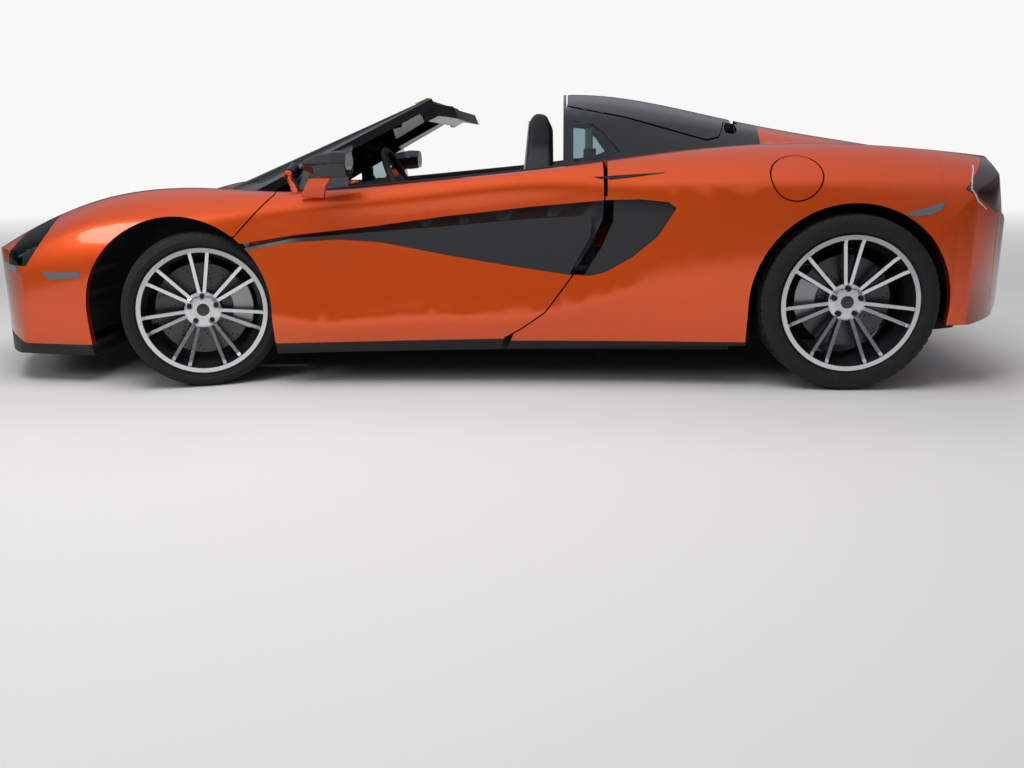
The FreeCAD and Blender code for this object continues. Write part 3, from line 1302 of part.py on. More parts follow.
# Wheels, uprights and brakes
for axle, w in WHEELS.items():
    steered = axle == "front"
    steer = STEER_AT_REST if steered else 0.0
    shapes = {"tyre": tyre(w), "wheel": wheel(w), "disc": disc(w)}
    for side, word in ((1, "right"), (-1, "left")):
        for kind, shape in shapes.items():
            nodes[f"{kind}_{axle}_{word}"] = at_wheel(shape, w, side, steer)
    if steered:
        for side, word in ((1, "right"), (-1, "left")):
            nodes[f"knuckle_{word}"] = at_wheel(upright(w, True), w, side, steer)
            nodes[f"caliper_{word}"] = at_wheel(caliper(w), w, side, steer)
    else:
        hubs = [both(at_wheel(shape, w, 1, flip=True)) for shape in (upright(w, False), caliper(w))]
        nodes["rear_hubs"] = Part.makeCompound([solid for pair in hubs for solid in pair.Solids])

for name in [n for n in nodes if n.endswith("_right")]:
    twin = name.replace("_right", "_left")
    if twin not in nodes:
        nodes[twin] = mirrored(nodes[name])

os.makedirs("parts", exist_ok=True)
for name, shape in nodes.items():
    b = shape.BoundBox
    limits = [round(v) for v in (b.XMin, b.XMax, b.YMin, b.YMax, b.ZMin, b.ZMax)]
    print(name, shape.isValid(), len(shape.Solids), round(shape.Volume / 1e6, 2), limits)
    shape.exportStep(f"parts/{name}.step")
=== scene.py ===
import json
import math
import bpy
import bmesh
import numpy as np
from mathutils import Matrix, Vector
from mathutils.bvhtree import BVHTree

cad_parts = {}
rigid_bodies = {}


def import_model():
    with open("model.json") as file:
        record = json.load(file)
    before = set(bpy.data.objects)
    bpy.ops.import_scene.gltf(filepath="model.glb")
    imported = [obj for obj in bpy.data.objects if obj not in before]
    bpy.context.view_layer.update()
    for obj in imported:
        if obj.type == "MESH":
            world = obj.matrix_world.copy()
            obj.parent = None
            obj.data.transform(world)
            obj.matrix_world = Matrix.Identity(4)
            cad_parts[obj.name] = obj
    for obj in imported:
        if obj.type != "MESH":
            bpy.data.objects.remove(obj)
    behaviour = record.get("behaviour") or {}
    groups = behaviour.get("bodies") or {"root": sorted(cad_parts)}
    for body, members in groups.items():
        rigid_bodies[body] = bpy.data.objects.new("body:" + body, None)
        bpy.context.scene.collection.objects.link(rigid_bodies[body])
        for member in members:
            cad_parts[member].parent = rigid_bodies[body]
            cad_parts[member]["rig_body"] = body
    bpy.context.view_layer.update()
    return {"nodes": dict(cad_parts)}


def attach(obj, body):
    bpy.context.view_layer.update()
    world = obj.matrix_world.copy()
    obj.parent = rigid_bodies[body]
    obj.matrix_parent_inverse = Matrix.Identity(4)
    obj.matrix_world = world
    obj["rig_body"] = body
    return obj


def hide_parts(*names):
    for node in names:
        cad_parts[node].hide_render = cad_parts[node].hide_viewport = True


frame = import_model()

nodes = frame["nodes"]

# Camera and stage. The camera stands 4.7 m to the left of the car, a little above the doors,
# looking down by 14 degrees; pose and lens were fitted to the wheels and the ends of the car.
camera_yaw, camera_pitch, camera_roll = (math.radians(a) for a in (-3.09, 13.82, -0.43))
camera_place = (0.359, -4.735, 0.954)
film_width, photo_width, photo_focal = 36.0, 1024.0, 949.16  # millimetres, then pixels
look = Vector((
    math.sin(camera_yaw) * math.cos(camera_pitch),
    math.cos(camera_yaw) * math.cos(camera_pitch),
    -math.sin(camera_pitch),
))
level_right = Vector((math.cos(camera_yaw), -math.sin(camera_yaw), 0.0))
level_up = level_right.cross(look)
right = math.cos(camera_roll) * level_right + math.sin(camera_roll) * level_up
up = -math.sin(camera_roll) * level_right + math.cos(camera_roll) * level_up
camera_data = bpy.data.cameras.new("camera")
camera_data.sensor_width = film_width
camera_data.lens = photo_focal / photo_width * film_width
camera = bpy.data.objects.new("camera", camera_data)
bpy.context.scene.collection.objects.link(camera)
pose = Matrix((right, up, -look)).transposed().to_4x4()
pose.translation = Vector(camera_place)
camera.matrix_world = pose
scene = bpy.context.scene
scene.camera = camera
scene.view_settings.view_transform = "Standard"

# World. Pale all round for the lens; for light and reflections it is a bright sky over a dimmer
# horizon, with a little light from below as a pale floor sends up.
background = (0.94, 0.94, 0.93, 1.0)
sky_steps = [(0.0, (0.30, 0.30, 0.30, 1.0)), (0.16, (0.09, 0.095, 0.10, 1.0)), (0.66, (0.86, 0.91, 1.0, 1.0))]
sky_strength = 0.62
world = bpy.data.worlds.new("studio")
scene.world = world
world.use_nodes = True
tree = world.node_tree


def add_nodes(tree, *kinds):
    """New shader nodes of the named kinds."""
    return [tree.nodes.new("ShaderNode" + kind) for kind in kinds]


def link_nodes(tree, *pairs):
    """Joins output to input sockets of a node tree."""
    for start, end in pairs:
        tree.links.new(start, end)


sky, sky_out = tree.nodes["Background"], tree.nodes["World Output"]
direction, parts_of, height, seen_sky, sky_mix, ray = add_nodes(
    tree, "TexCoord", "SeparateXYZ", "ValToRGB", "Background", "MixShader", "LightPath",
)
steps = height.color_ramp.elements
steps.new(0.5)
for step, (place, color) in zip(steps, sky_steps):
    step.position, step.color = place, color
seen_sky.inputs["Color"].default_value = background
sky.inputs["Strength"].default_value = sky_strength
link_nodes(
    tree,
    (direction.outputs["Generated"], parts_of.inputs[0]), (parts_of.outputs["Z"], height.inputs[0]),
    (height.outputs[0], sky.inputs["Color"]), (ray.outputs["Is Camera Ray"], sky_mix.inputs[0]),
    (sky.outputs[0], sky_mix.inputs[1]), (seen_sky.outputs[0], sky_mix.inputs[2]),
    (sky_mix.outputs[0], sky_out.inputs["Surface"]),
)


def plain_material(name, color, roughness, metallic=0.0, coat=0.0, specular=0.5):
    """A Principled surface of one finish; colour as linear RGB."""
    material = bpy.data.materials.new(name)
    material.use_nodes = True
    shader = material.node_tree.nodes["Principled BSDF"]
    shader.inputs["Base Color"].default_value = (*color, 1.0)
    shader.inputs["Roughness"].default_value = roughness
    shader.inputs["Metallic"].default_value = metallic
    shader.inputs["Coat Weight"].default_value = coat
    shader.inputs["Coat Roughness"].default_value = 0.03
    shader.inputs["Specular IOR Level"].default_value = specular
    return material


def finished_piece(name, mesh, material, smooth_angle):
    """A mesh as an object of one material, smooth apart from edges sharper than the angle."""
    mesh.shade_smooth()
    mesh.set_sharp_from_angle(angle=math.radians(smooth_angle))
    mesh.materials.clear()
    mesh.materials.append(material)
    piece = bpy.data.objects.new(name, mesh)
    scene.collection.objects.link(piece)
    return piece


def mesh_piece(name, vertices, faces, material, smooth_angle=40.0):
    """A mesh object at the origin from arrays of places and corner numbers."""
    mesh = bpy.data.meshes.new(name)
    mesh.from_pydata(np.asarray(vertices).tolist(), [], [tuple(f) for f in np.asarray(faces).tolist()])
    return finished_piece(name, mesh, material, smooth_angle)


# Floor. A pale matt sheet that takes the car's shadow; between 4 and 13 m from the middle it
# fades into the background, for the lens only.
floor_half, fade_from, fade_to = 60, 4.0, 13.0
floor_paint = plain_material("studio_floor", (0.52, 0.51, 0.49), 0.8)
tree = floor_paint.node_tree
where, distance, far, ray, seen_far, plain_light, floor_mix = add_nodes(
    tree, "TexCoord", "VectorMath", "MapRange", "LightPath", "Math", "Emission", "MixShader",
)
distance.operation, seen_far.operation = "LENGTH", "MULTIPLY"
far.inputs["From Min"].default_value, far.inputs["From Max"].default_value = fade_from, fade_to
plain_light.inputs["Color"].default_value = background
link_nodes(
    tree,
    (where.outputs["Object"], distance.inputs[0]), (distance.outputs["Value"], far.inputs["Value"]),
    (far.outputs["Result"], seen_far.inputs[0]), (ray.outputs["Is Camera Ray"], seen_far.inputs[1]),
    (seen_far.outputs[0], floor_mix.inputs[0]), (plain_light.outputs[0], floor_mix.inputs[2]),
    (tree.nodes["Principled BSDF"].outputs[0], floor_mix.inputs[1]),
    (floor_mix.outputs[0], tree.nodes["Material Output"].inputs["Surface"]),
)
floor_corners = [(floor_half * x, floor_half * y, 0) for x, y in ((-1, -1), (1, -1), (1, 1), (-1, 1))]
floor = mesh_piece("studio_floor", floor_corners, [(0, 1, 2, 3)], floor_paint)

# Lamps of the stage: name, place, size of the disk, watts, where it aims; only the one on the left
# shows in reflections, because the others would leave hard white patches on glass and lacquer
for name, place, size, watts, aim in (
    ("lamp_top", (-0.8, -1.8, 5.0), 4.5, 300.0, (0.0, 0.0, 0.3)),
    ("lamp_left", (-4.5, -5.0, 3.2), 2.2, 70.0, (-0.4, 0.0, 0.5)),
    ("lamp_back", (2.0, 3.5, 6.0), 3.0, 120.0, (0.3, 0.0, 0.6)),
):
    light = bpy.data.lights.new(name, "AREA")
    light.shape = "DISK"
    light.size = size
    light.energy = watts
    lamp = bpy.data.objects.new(name, light)
    lamp.location = place
    lamp.visible_glossy = name == "lamp_left"
    lamp.rotation_euler = (Vector(aim) - Vector(place)).to_track_quat("-Z", "Y").to_euler()
    scene.collection.objects.link(lamp)


# Painted body. Panels are pressed from sheet and composite, primed, sprayed a metallic orange
# and sealed with clear lacquer; each panel is its own piece with an even gap to the next.
front_axle, rear_axle, half_width = -1.170, 1.500, 0.965
# Body stations: axle, millimetres behind it, then how far in from the half width and how high
# are sill, low line and shoulder, crest y and z, middle z, lower bulge and side bulge
body_stations = [
    (front_axle, -1095, 145, 140, 105, 300, 125, 430, 700, 480, 492, 8, 10),
    (front_axle, -800, 115, 125, 65, 320, 95, 540, 715, 612, 604, 8, 14),
    (front_axle, -424, 60, 125, 30, 390, 68, 665, 745, 765, 700, 8, 16),
    (front_axle, 0, 45, 130, 18, 440, 52, 700, 745, 812, 752, 6, 10),
    (front_axle, 340, 70, 135, 22, 300, 60, 710, 805, 798, 786, 5, -4),
    (front_axle, 900, 92, 145, 36, 292, 78, 735, 835, 830, 826, 4, -12),
    (rear_axle, -1170, 98, 155, 34, 322, 68, 790, 835, 888, 880, 4, -10),
    (rear_axle, -600, 74, 170, 16, 500, 46, 820, 745, 955, 948, 6, 2),
    (rear_axle, 0, 44, 200, 8, 520, 42, 830, 745, 970, 952, 6, 8),
    (rear_axle, 420, 65, 250, 20, 520, 66, 810, 740, 935, 922, 8, 10),
    (rear_axle, 765, 105, 310, 80, 500, 115, 760, 720, 880, 868, 8, 10),
]
station_x = np.array([row[0] + row[1] / 1000 for row in body_stations])
station_row = np.array([row[2:] for row in body_stations]) / 1000
station_row[:, [0, 2, 4]] = half_width - station_row[:, [0, 2, 4]]
station_gap = np.diff(station_x)
bend = np.zeros((len(station_x), len(station_x)))
bend[0, 0] = bend[-1, -1] = 1.0
inner_rows = np.arange(1, len(station_x) - 1)
bend[inner_rows, inner_rows - 1] = station_gap[:-1]
bend[inner_rows, inner_rows] = 2 * (station_gap[:-1] + station_gap[1:])
bend[inner_rows, inner_rows + 1] = station_gap[1:]
slope = np.diff(station_row, axis=0) / station_gap[:, None]
level = np.zeros_like(slope[:1])
station_bend = np.linalg.solve(bend, np.vstack([level, 6 * np.diff(slope, axis=0), level]))
flattest, top_bulge = 1e-5, 0.020


def section_at(x):
    """The station values at each x: a natural cubic spline through the table's columns."""
    i = np.clip(np.searchsorted(station_x, x) - 1, 0, len(station_x) - 2)
    gap = station_gap[i][:, None]
    a = (station_x[i + 1] - x)[:, None] / gap
    b = 1 - a
    curve = (a**3 - a) * station_bend[i] + (b**3 - b) * station_bend[i + 1]
    return a * station_row[i] + b * station_row[i + 1] + curve * gap * gap / 6


def body_distance(points, blend=0.0):
    """Distance of each point outside the body's cross-section at its own x, in metres. A section is
    three arcs up the side, each from chord and bulge, and one arc over the top; the nearest counts."""
    y, z = np.abs(points[:, 1]), points[:, 2]
    row = section_at(points[:, 0])
    here = np.stack([y, z], 1)
    corners = [row[:, 0:2], row[:, 2:4], row[:, 4:6], row[:, 6:8]]
    bulges = [row[:, 9], row[:, 10], np.full(len(y), top_bulge)]
    ways, misses = [], []
    for start, end, bulge in zip(corners[:-1], corners[1:], bulges):
        chord = end - start
        length = np.linalg.norm(chord, axis=1)
        outward = np.stack([chord[:, 1], -chord[:, 0]], 1) / length[:, None]
        bulge = np.where(np.abs(bulge) < flattest, flattest, bulge)
        radius = (length**2 / 4 + bulge**2) / (2 * bulge)
        centre = (start + end) / 2 + outward * (bulge - radius)[:, None]
        reach = np.linalg.norm(here - centre, axis=1)
        ways.append(np.sign(radius) * (reach - np.abs(radius)))
        share = np.einsum("ij,ij->i", here - start, chord) / length**2
        misses.append(np.maximum(0, np.maximum(-share, share - 1)) * length)
    crest, middle = corners[-1], row[:, 8]
    sag = middle - crest[:, 1]
    sag = np.where(np.abs(sag) < flattest, flattest, sag)
    radius = (crest[:, 0] ** 2 + sag**2) / (2 * sag)
    reach = np.hypot(y, z - (middle - radius))
    ways.append(np.sign(radius) * (reach - np.abs(radius)))
    misses.append(np.maximum(0, y - crest[:, 0]))
    ways, misses = np.stack(ways, 1), np.stack(misses, 1)
    if blend:
        weight = np.exp(-(np.abs(ways) + misses) / blend)
        return (ways * weight).sum(1) / weight.sum(1)
    nearest = np.argmin(np.abs(ways) + misses, axis=1)
    return ways[np.arange(len(y)), nearest]


def body_normals(points):
    """Outward direction of the body's surface: the slope along X, Y and Z of its distance, in which
    neighbouring arcs run into each other over a few centimetres."""
    step, blend = 1e-3, 0.022
    ways = [
        body_distance(points + step * axis, blend) - body_distance(points - step * axis, blend)
        for axis in np.eye(3)
    ]
    slopes = np.stack(ways, 1)
    return slopes / np.linalg.norm(slopes, axis=1)[:, None]


def merged_mesh(node):
    """A copy of a node's mesh with its corners merged."""
    same_place, no_length = 1e-5, 1e-6
    mesh = nodes[node].data.copy()
    work = bmesh.new()
    work.from_mesh(mesh)
    bmesh.ops.remove_doubles(work, verts=work.verts, dist=same_place)
    bmesh.ops.dissolve_degenerate(work, edges=work.edges, dist=no_length)
    work.to_mesh(mesh)
    work.free()
    return mesh


def panel_copy(node, material, angle=32.0, bevel=0.0):
    """The node's own surface with its corners merged, so that light runs smoothly over it. Edges
    sharper than the angle stay sharp; a bevel rounds the right-angled ones by so many metres."""
    bevel_from = 50.0
    piece = finished_piece("panel_" + node, merged_mesh(node), material, angle)
    if bevel:
        rounding = piece.modifiers.new("edges", "BEVEL")
        rounding.width = bevel
        rounding.segments = 2
        rounding.limit_method = "ANGLE"
        rounding.angle_limit = math.radians(bevel_from)
        evened = piece.modifiers.new("even", "WEIGHTED_NORMAL")
        evened.keep_sharp = True
    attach(piece, nodes[node]["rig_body"])
    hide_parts(node)
    return piece


def values_of(items, name, width=1, kind=float):
    """One property of every vertex, corner or face of a mesh, in rows of so many numbers."""
    values = np.empty(len(items) * width, kind)
    items.foreach_get(name, values)
    return values.reshape(-1, width) if width > 1 else values


def fair(piece):
    """Gives the corners of faces on the body's outer skin the body's own direction there."""
    skin_depth, same_way, inset, no_length = 0.010, 0.93, 5e-4, 1e-9
    mesh = piece.data
    places = values_of(mesh.vertices, "co", 3)
    corner = values_of(mesh.loops, "vertex_index", 1, int)
    normal, centre = (values_of(mesh.polygons, name, 3) for name in ("normal", "center"))
    face = np.repeat(np.arange(len(centre)), values_of(mesh.polygons, "loop_total", 1, int))
    inward = centre[face] - places[corner]
    inward /= np.maximum(np.linalg.norm(inward, axis=1), no_length)[:, None]
    spot = places[corner] + inset * inward
    middle_normal = body_normals(centre)
    on_skin = (np.abs(body_distance(centre)) < skin_depth) & ((middle_normal * normal).sum(1) > same_way)
    wanted = np.zeros((len(corner), 3))
    outer = on_skin[face]
    wanted[outer] = body_normals(spot[outer])
    mesh.normals_split_custom_set(wanted.tolist())


def flake_group():
    """Noise of metal flakes: fine cells give each flake a tint and a tilt of the surface."""
    group = bpy.data.node_groups.new("metal_flake", "ShaderNodeTree")
    for socket in ("Size", "Tilt"):
        group.interface.new_socket(socket, in_out="INPUT", socket_type="NodeSocketFloat")
    group.interface.new_socket("Shade", in_out="OUTPUT", socket_type="NodeSocketFloat")
    group.interface.new_socket("Normal", in_out="OUTPUT", socket_type="NodeSocketVector")
    start, end = group.nodes.new("NodeGroupInput"), group.nodes.new("NodeGroupOutput")
    place, cells, centre, scaled, geometry, added, unit, split = add_nodes(
        group, "TexCoord", "TexVoronoi", "VectorMath", "VectorMath",
        "NewGeometry", "VectorMath", "VectorMath", "SeparateColor",
    )
    centre.operation, scaled.operation, unit.operation = "SUBTRACT", "SCALE", "NORMALIZE"
    centre.inputs[1].default_value = (0.5, 0.5, 0.5)
    link_nodes(
        group,
        (place.outputs["Object"], cells.inputs["Vector"]), (start.outputs["Size"], cells.inputs["Scale"]),
        (cells.outputs["Color"], centre.inputs[0]), (centre.outputs[0], scaled.inputs[0]),
        (start.outputs["Tilt"], scaled.inputs["Scale"]), (geometry.outputs["Normal"], added.inputs[0]),
        (scaled.outputs[0], added.inputs[1]), (added.outputs[0], unit.inputs[0]),
        (unit.outputs[0], end.inputs["Normal"]), (cells.outputs["Color"], split.inputs[0]),
        (split.outputs[0], end.inputs["Shade"]),
    )
    return group


metal_flake = flake_group()
orange_paint = plain_material("orange_paint", (0.80, 0.075, 0.008), 0.30, 0.60, 1.0, 0.3)
tree = orange_paint.node_tree
shader = tree.nodes["Principled BSDF"]
shader.inputs["Coat Roughness"].default_value = 0.07
facing, tint, flake, sparkle = add_nodes(tree, "LayerWeight", "ValToRGB", "Group", "Mix")
facing.inputs["Blend"].default_value = 0.42
tint.color_ramp.elements[0].color = (0.95, 0.105, 0.004, 1.0)
tint.color_ramp.elements[1].color = (0.30, 0.010, 0.001, 1.0)
flake.node_tree = metal_flake
flake.inputs["Size"].default_value, flake.inputs["Tilt"].default_value = 2200.0, 0.14
sparkle.data_type, sparkle.blend_type = "RGBA", "MULTIPLY"
sparkle.inputs["Factor"].default_value = 0.25
link_nodes(
    tree,
    (facing.outputs["Facing"], tint.inputs[0]), (tint.outputs[0], sparkle.inputs["A"]),
    (flake.outputs["Shade"], sparkle.inputs["B"]), (sparkle.outputs["Result"], shader.inputs["Base Color"]),
    (flake.outputs["Normal"], shader.inputs["Normal"]),
)


def cut_by_plane(piece, point, normal, material):
    """Cuts a panel's mesh along a plane and gives the side the normal points to a second material."""
    mesh = piece.data
    work = bmesh.new()
    work.from_mesh(mesh)
    everything = work.verts[:] + work.edges[:] + work.faces[:]
    bmesh.ops.bisect_plane(work, geom=everything, plane_co=point, plane_no=normal, dist=1e-5)
    work.to_mesh(mesh)
    work.free()
    if material.name not in mesh.materials:
        mesh.materials.append(material)
    index = mesh.materials.find(material.name)
    centre = values_of(mesh.polygons, "center", 3)
    given = values_of(mesh.polygons, "material_index", 1, np.int32)
    given[(centre - np.array(point)) @ np.array(normal) > 0] = index
    mesh.polygons.foreach_set("material_index", given)


def add_grain(material, size, depth, rough=0.06):
    """Fine moulded grain: noise of so many waves a metre lifts the surface by a depth in metres and
    varies its roughness to either side."""
    tree = material.node_tree
    shader = tree.nodes["Principled BSDF"]
    where, noise, relief, gloss = add_nodes(tree, "TexCoord", "TexNoise", "Bump", "MapRange")
    noise.inputs["Scale"].default_value, noise.inputs["Detail"].default_value = size, 3.0
    relief.inputs["Strength"].default_value, relief.inputs["Distance"].default_value = 0.6, depth
    base = shader.inputs["Roughness"].default_value
    gloss.inputs["To Min"].default_value, gloss.inputs["To Max"].default_value = base - rough, base + rough
    link_nodes(
        tree,
        (where.outputs["Object"], noise.inputs["Vector"]), (noise.outputs["Fac"], relief.inputs["Height"]),
        (noise.outputs["Fac"], gloss.inputs["Value"]), (gloss.outputs[0], shader.inputs["Roughness"]),
        (relief.outputs[0], shader.inputs["Normal"]),
    )
    return material


# Inner faces of the doors are trimmed in leather, and the sills below the skirt line are black
soft_black = (0.012, 0.012, 0.013)
black_trim = add_grain(plain_material("black_trim", soft_black, 0.50, 0.0, 0.0, 0.3), 900.0, 0.0002)
leather = add_grain(plain_material("leather", (0.016, 0.016, 0.018), 0.52), 700.0, 0.0005)
skirt_line, below_skirt, door_skin = (-0.841, 0.0, 0.181), (0.0195, 0.0, -1.0), 0.797
for node in (
    "front_bumper", "front_fender_left", "front_fender_right", "bonnet", "door_left", "door_right",
    "rear_quarter_left", "rear_quarter_right", "fuel_flap", "engine_deck", "rear_bumper",
):
    panel = panel_copy(node, orange_paint)
    if node.startswith("door"):
        side = 1.0 if node.endswith("right") else -1.0
        cut_by_plane(panel, skirt_line, below_skirt, black_trim)
        cut_by_plane(panel, (0.0, side * door_skin, 0.0), (0.0, -side, 0.0), leather)
    fair(panel)


# Tyres. Low rubber tyres with four grooves round the tread, cross grooves between them and a
# raised band on each side wall that guards the rim; moulded in one piece, blank of lettering.
turn_at_rest = math.radians(20.0)
turned_x, turned_y = math.sin(turn_at_rest), math.cos(turn_at_rest)
rear_half_track, rear_radius = 0.809, 0.3535
front_sizes, rear_sizes = (0.225, 0.320, 0.259, 0.216, 0.042), (0.285, rear_radius, 0.2715, 0.272, 0.060)
wheel_table = [
    # corner, middle of the wheel, outboard direction, tyre width, radius, rim radius, rim width, hub
    ("front_left", (-1.15632, -0.83409, 0.320), (turned_x, -turned_y, 0.0), *front_sizes),
    ("front_right", (-1.18368, 0.83409, 0.320), (-turned_x, turned_y, 0.0), *front_sizes),
    ("rear_left", (rear_axle, -rear_half_track, rear_radius), (0.0, -1.0, 0.0), *rear_sizes),
    ("rear_right", (rear_axle, rear_half_track, rear_radius), (0.0, 1.0, 0.0), *rear_sizes),
]


def wheel_places(middle, outboard, out, radius, angle):
    """Places on a wheel from arrays of distance outboard, radius and angle from straight up."""
    outboard = np.array(outboard)
    forward = np.cross(outboard, (0.0, 0.0, 1.0))
    out, radius, angle = np.broadcast_arrays(out, radius, angle)
    across, high = radius * np.sin(angle), radius * np.cos(angle)
    return (np.array(middle) + out[..., None] * outboard + across[..., None] * forward
            + high[..., None] * np.array((0.0, 0.0, 1.0)))


def ring_faces(rows, columns, close_rows=False):
    """Four-cornered faces of a grid of rows by columns whose columns close into a ring."""
    last = rows if close_rows else rows - 1
    row, column = np.meshgrid(np.arange(last), np.arange(columns), indexing="ij")
    below, beside = (row + 1) % rows, (column + 1) % columns
    corners = [(row, column), (row, beside), (below, beside), (below, column)]
    return np.stack([r * columns + c for r, c in corners], -1).reshape(-1, 4)


def face_outwards(mesh, merge=False):
    """Turns the faces of a closed mesh outwards, after merging its corners where asked."""
    same_place = 1e-6
    work = bmesh.new()
    work.from_mesh(mesh)
    if merge:
        bmesh.ops.remove_doubles(work, verts=work.verts, dist=same_place)
    bmesh.ops.recalc_face_normals(work, faces=work.faces)
    work.to_mesh(mesh)
    work.free()


def turned_piece(name, material, middle, outboard, profile, steps=64, smooth_angle=35.0):
    """A closed solid turned about a wheel's axis from a loop of (outboard, radius) points."""
    profile = np.array(profile)
    angle = np.arange(steps) * 2 * math.pi / steps
    places = wheel_places(middle, outboard, profile[:, :1], profile[:, 1:], angle[None, :])
    faces = ring_faces(len(profile), steps, True)
    piece = mesh_piece(name, places.reshape(-1, 3), faces, material, smooth_angle)
    face_outwards(piece.data, True)
    return piece


rubber = plain_material("tyre_rubber", soft_black, 0.66, 0.0, 0.0, 0.3)
tree = rubber.node_tree
dust, grey, where, relief = add_nodes(tree, "TexNoise", "ValToRGB", "TexCoord", "Bump")
dust.inputs["Scale"].default_value, dust.inputs["Detail"].default_value = 60.0, 6.0
grey.color_ramp.elements[0].color = (0.006, 0.006, 0.0065, 1.0)
grey.color_ramp.elements[1].color = (0.019, 0.019, 0.020, 1.0)
relief.inputs["Strength"].default_value, relief.inputs["Distance"].default_value = 0.25, 0.001
link_nodes(
    tree,
    (where.outputs["Object"], dust.inputs["Vector"]), (dust.outputs["Fac"], grey.inputs[0]),
    (grey.outputs[0], tree.nodes["Principled BSDF"].inputs["Base Color"]),
    (dust.outputs["Fac"], relief.inputs["Height"]),
    (relief.outputs[0], tree.nodes["Principled BSDF"].inputs["Normal"]),
)

tread_rows, tyre_steps, block_count = 75, 384, 64
ring_middles = (-0.29, -0.10, 0.10, 0.29)  # of the grooves round the tread, in shares of the width
groove_lean, shoulder_from, ring_margin = 0.35, 0.30, 0.012  # slope; share of the width; metres
ring_groove, cross_groove, inner_groove = (0.0046, 0.006), (0.0052, 0.0042), (0.0050, 0.0025)  # width, depth
for corner, middle, outboard, width, radius, rim, rim_width, hub in wheel_table:
    # The section runs from bead to bead over the tread: side wall arcs, then a nearly flat tread
    half, bead = width / 2, rim_width / 2 - 0.008
    waist = (radius + rim) / 2
    wall = np.array([
        (bead, rim + 0.002), (bead + 0.004, rim + 0.007), (half - 0.006, rim + 0.011),
        (half - 0.004, rim + 0.014), (half - 0.005, rim + 0.017), (half - 0.003, rim + 0.022),
        (half, waist - 0.004), (half - 0.001, waist + 0.004), (half - 0.004, radius - 0.024),
        (half - 0.0055, radius - 0.020), (half - 0.006, radius - 0.017), (half - 0.010, radius - 0.011),
        (half - 0.014, radius - 0.0075),
    ])
    tread_out = np.linspace(half - 0.016, -(half - 0.016), tread_rows)
    tread_radius = radius - 0.0065 * np.abs(tread_out / half) ** 3
    out = np.concatenate([wall[:, 0], tread_out, -wall[::-1, 0], [-bead, bead]])
    high = np.concatenate([wall[:, 1], tread_radius, wall[::-1, 1], [rim - 0.012, rim - 0.012]])
    row = np.arange(len(out))
    on_tread = (row >= len(wall) - 3) & (row < len(wall) + tread_rows + 3)
    from_ring = np.minimum.reduce([np.abs(out - share * width) for share in ring_middles])[:, None]
    in_ring = on_tread[:, None] & (from_ring < ring_groove[0])
    angle = np.arange(tyre_steps) * 2 * math.pi / tyre_steps
    arc = radius * angle[None, :] + groove_lean * np.abs(out)[:, None]
    shoulder = np.abs(out)[:, None] > shoulder_from * width
    pitch = radius * 2 * math.pi / block_count
    in_cross = (np.mod(arc, pitch) < cross_groove[0]) & on_tread[:, None] & shoulder
    in_inner = (np.mod(arc + pitch / 2, pitch) < inner_groove[0]) & on_tread[:, None] & ~shoulder
    in_inner &= from_ring > ring_margin
    depth = np.maximum(ring_groove[1] * in_ring, cross_groove[1] * in_cross)
    depth = np.maximum(depth, inner_groove[1] * in_inner)
    places = wheel_places(middle, outboard, out[:, None], high[:, None] - depth, angle[None, :])
    faces = ring_faces(len(out), tyre_steps, True)
    tyre = mesh_piece("tyre_" + corner, places.reshape(-1, 3), faces, rubber, 38.0)
    face_outwards(tyre.data)
    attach(tyre, "wheel_" + corner)
    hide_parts("tyre_" + corner)


# Wheels. Forged alloy rims, sprayed dark and then turned bright on their outer faces, so the
# fourteen thin spokes and the lip shine; five bolts and a bare black cap in the hub.
rim_dark = plain_material("rim_dark", (0.020, 0.021, 0.023), 0.36, 0.3, 0.35)
machined = plain_material("machined_face", (0.74, 0.75, 0.77), 0.22, 1.0)
tree = machined.node_tree
radial, rings, spread, relief = add_nodes(tree, "Attribute", "Math", "Math", "Bump")
radial.attribute_name = "turning"
rings.operation, spread.operation = "SINE", "MULTIPLY"
spread.inputs[1].default_value = 9000.0
relief.inputs["Strength"].default_value, relief.inputs["Distance"].default_value = 0.10, 0.0002
link_nodes(
    tree,
    (radial.outputs["Fac"], spread.inputs[0]), (spread.outputs[0], rings.inputs[0]),
    (rings.outputs[0], relief.inputs["Height"]),
    (relief.outputs[0], tree.nodes["Principled BSDF"].inputs["Normal"]),
)
cap_black = plain_material("cap_black", soft_black, 0.30, 0.0, 0.6)
bolt_steel = plain_material("bolt_steel", (0.030, 0.030, 0.032), 0.40, 0.6)
hub_face, bolt_circle, bolt_count, bolt_steps = 0.030, 0.056, 5, 18
turned_from, faces_out = 0.010, 0.80  # metres outboard of the hub; cosine to the axle

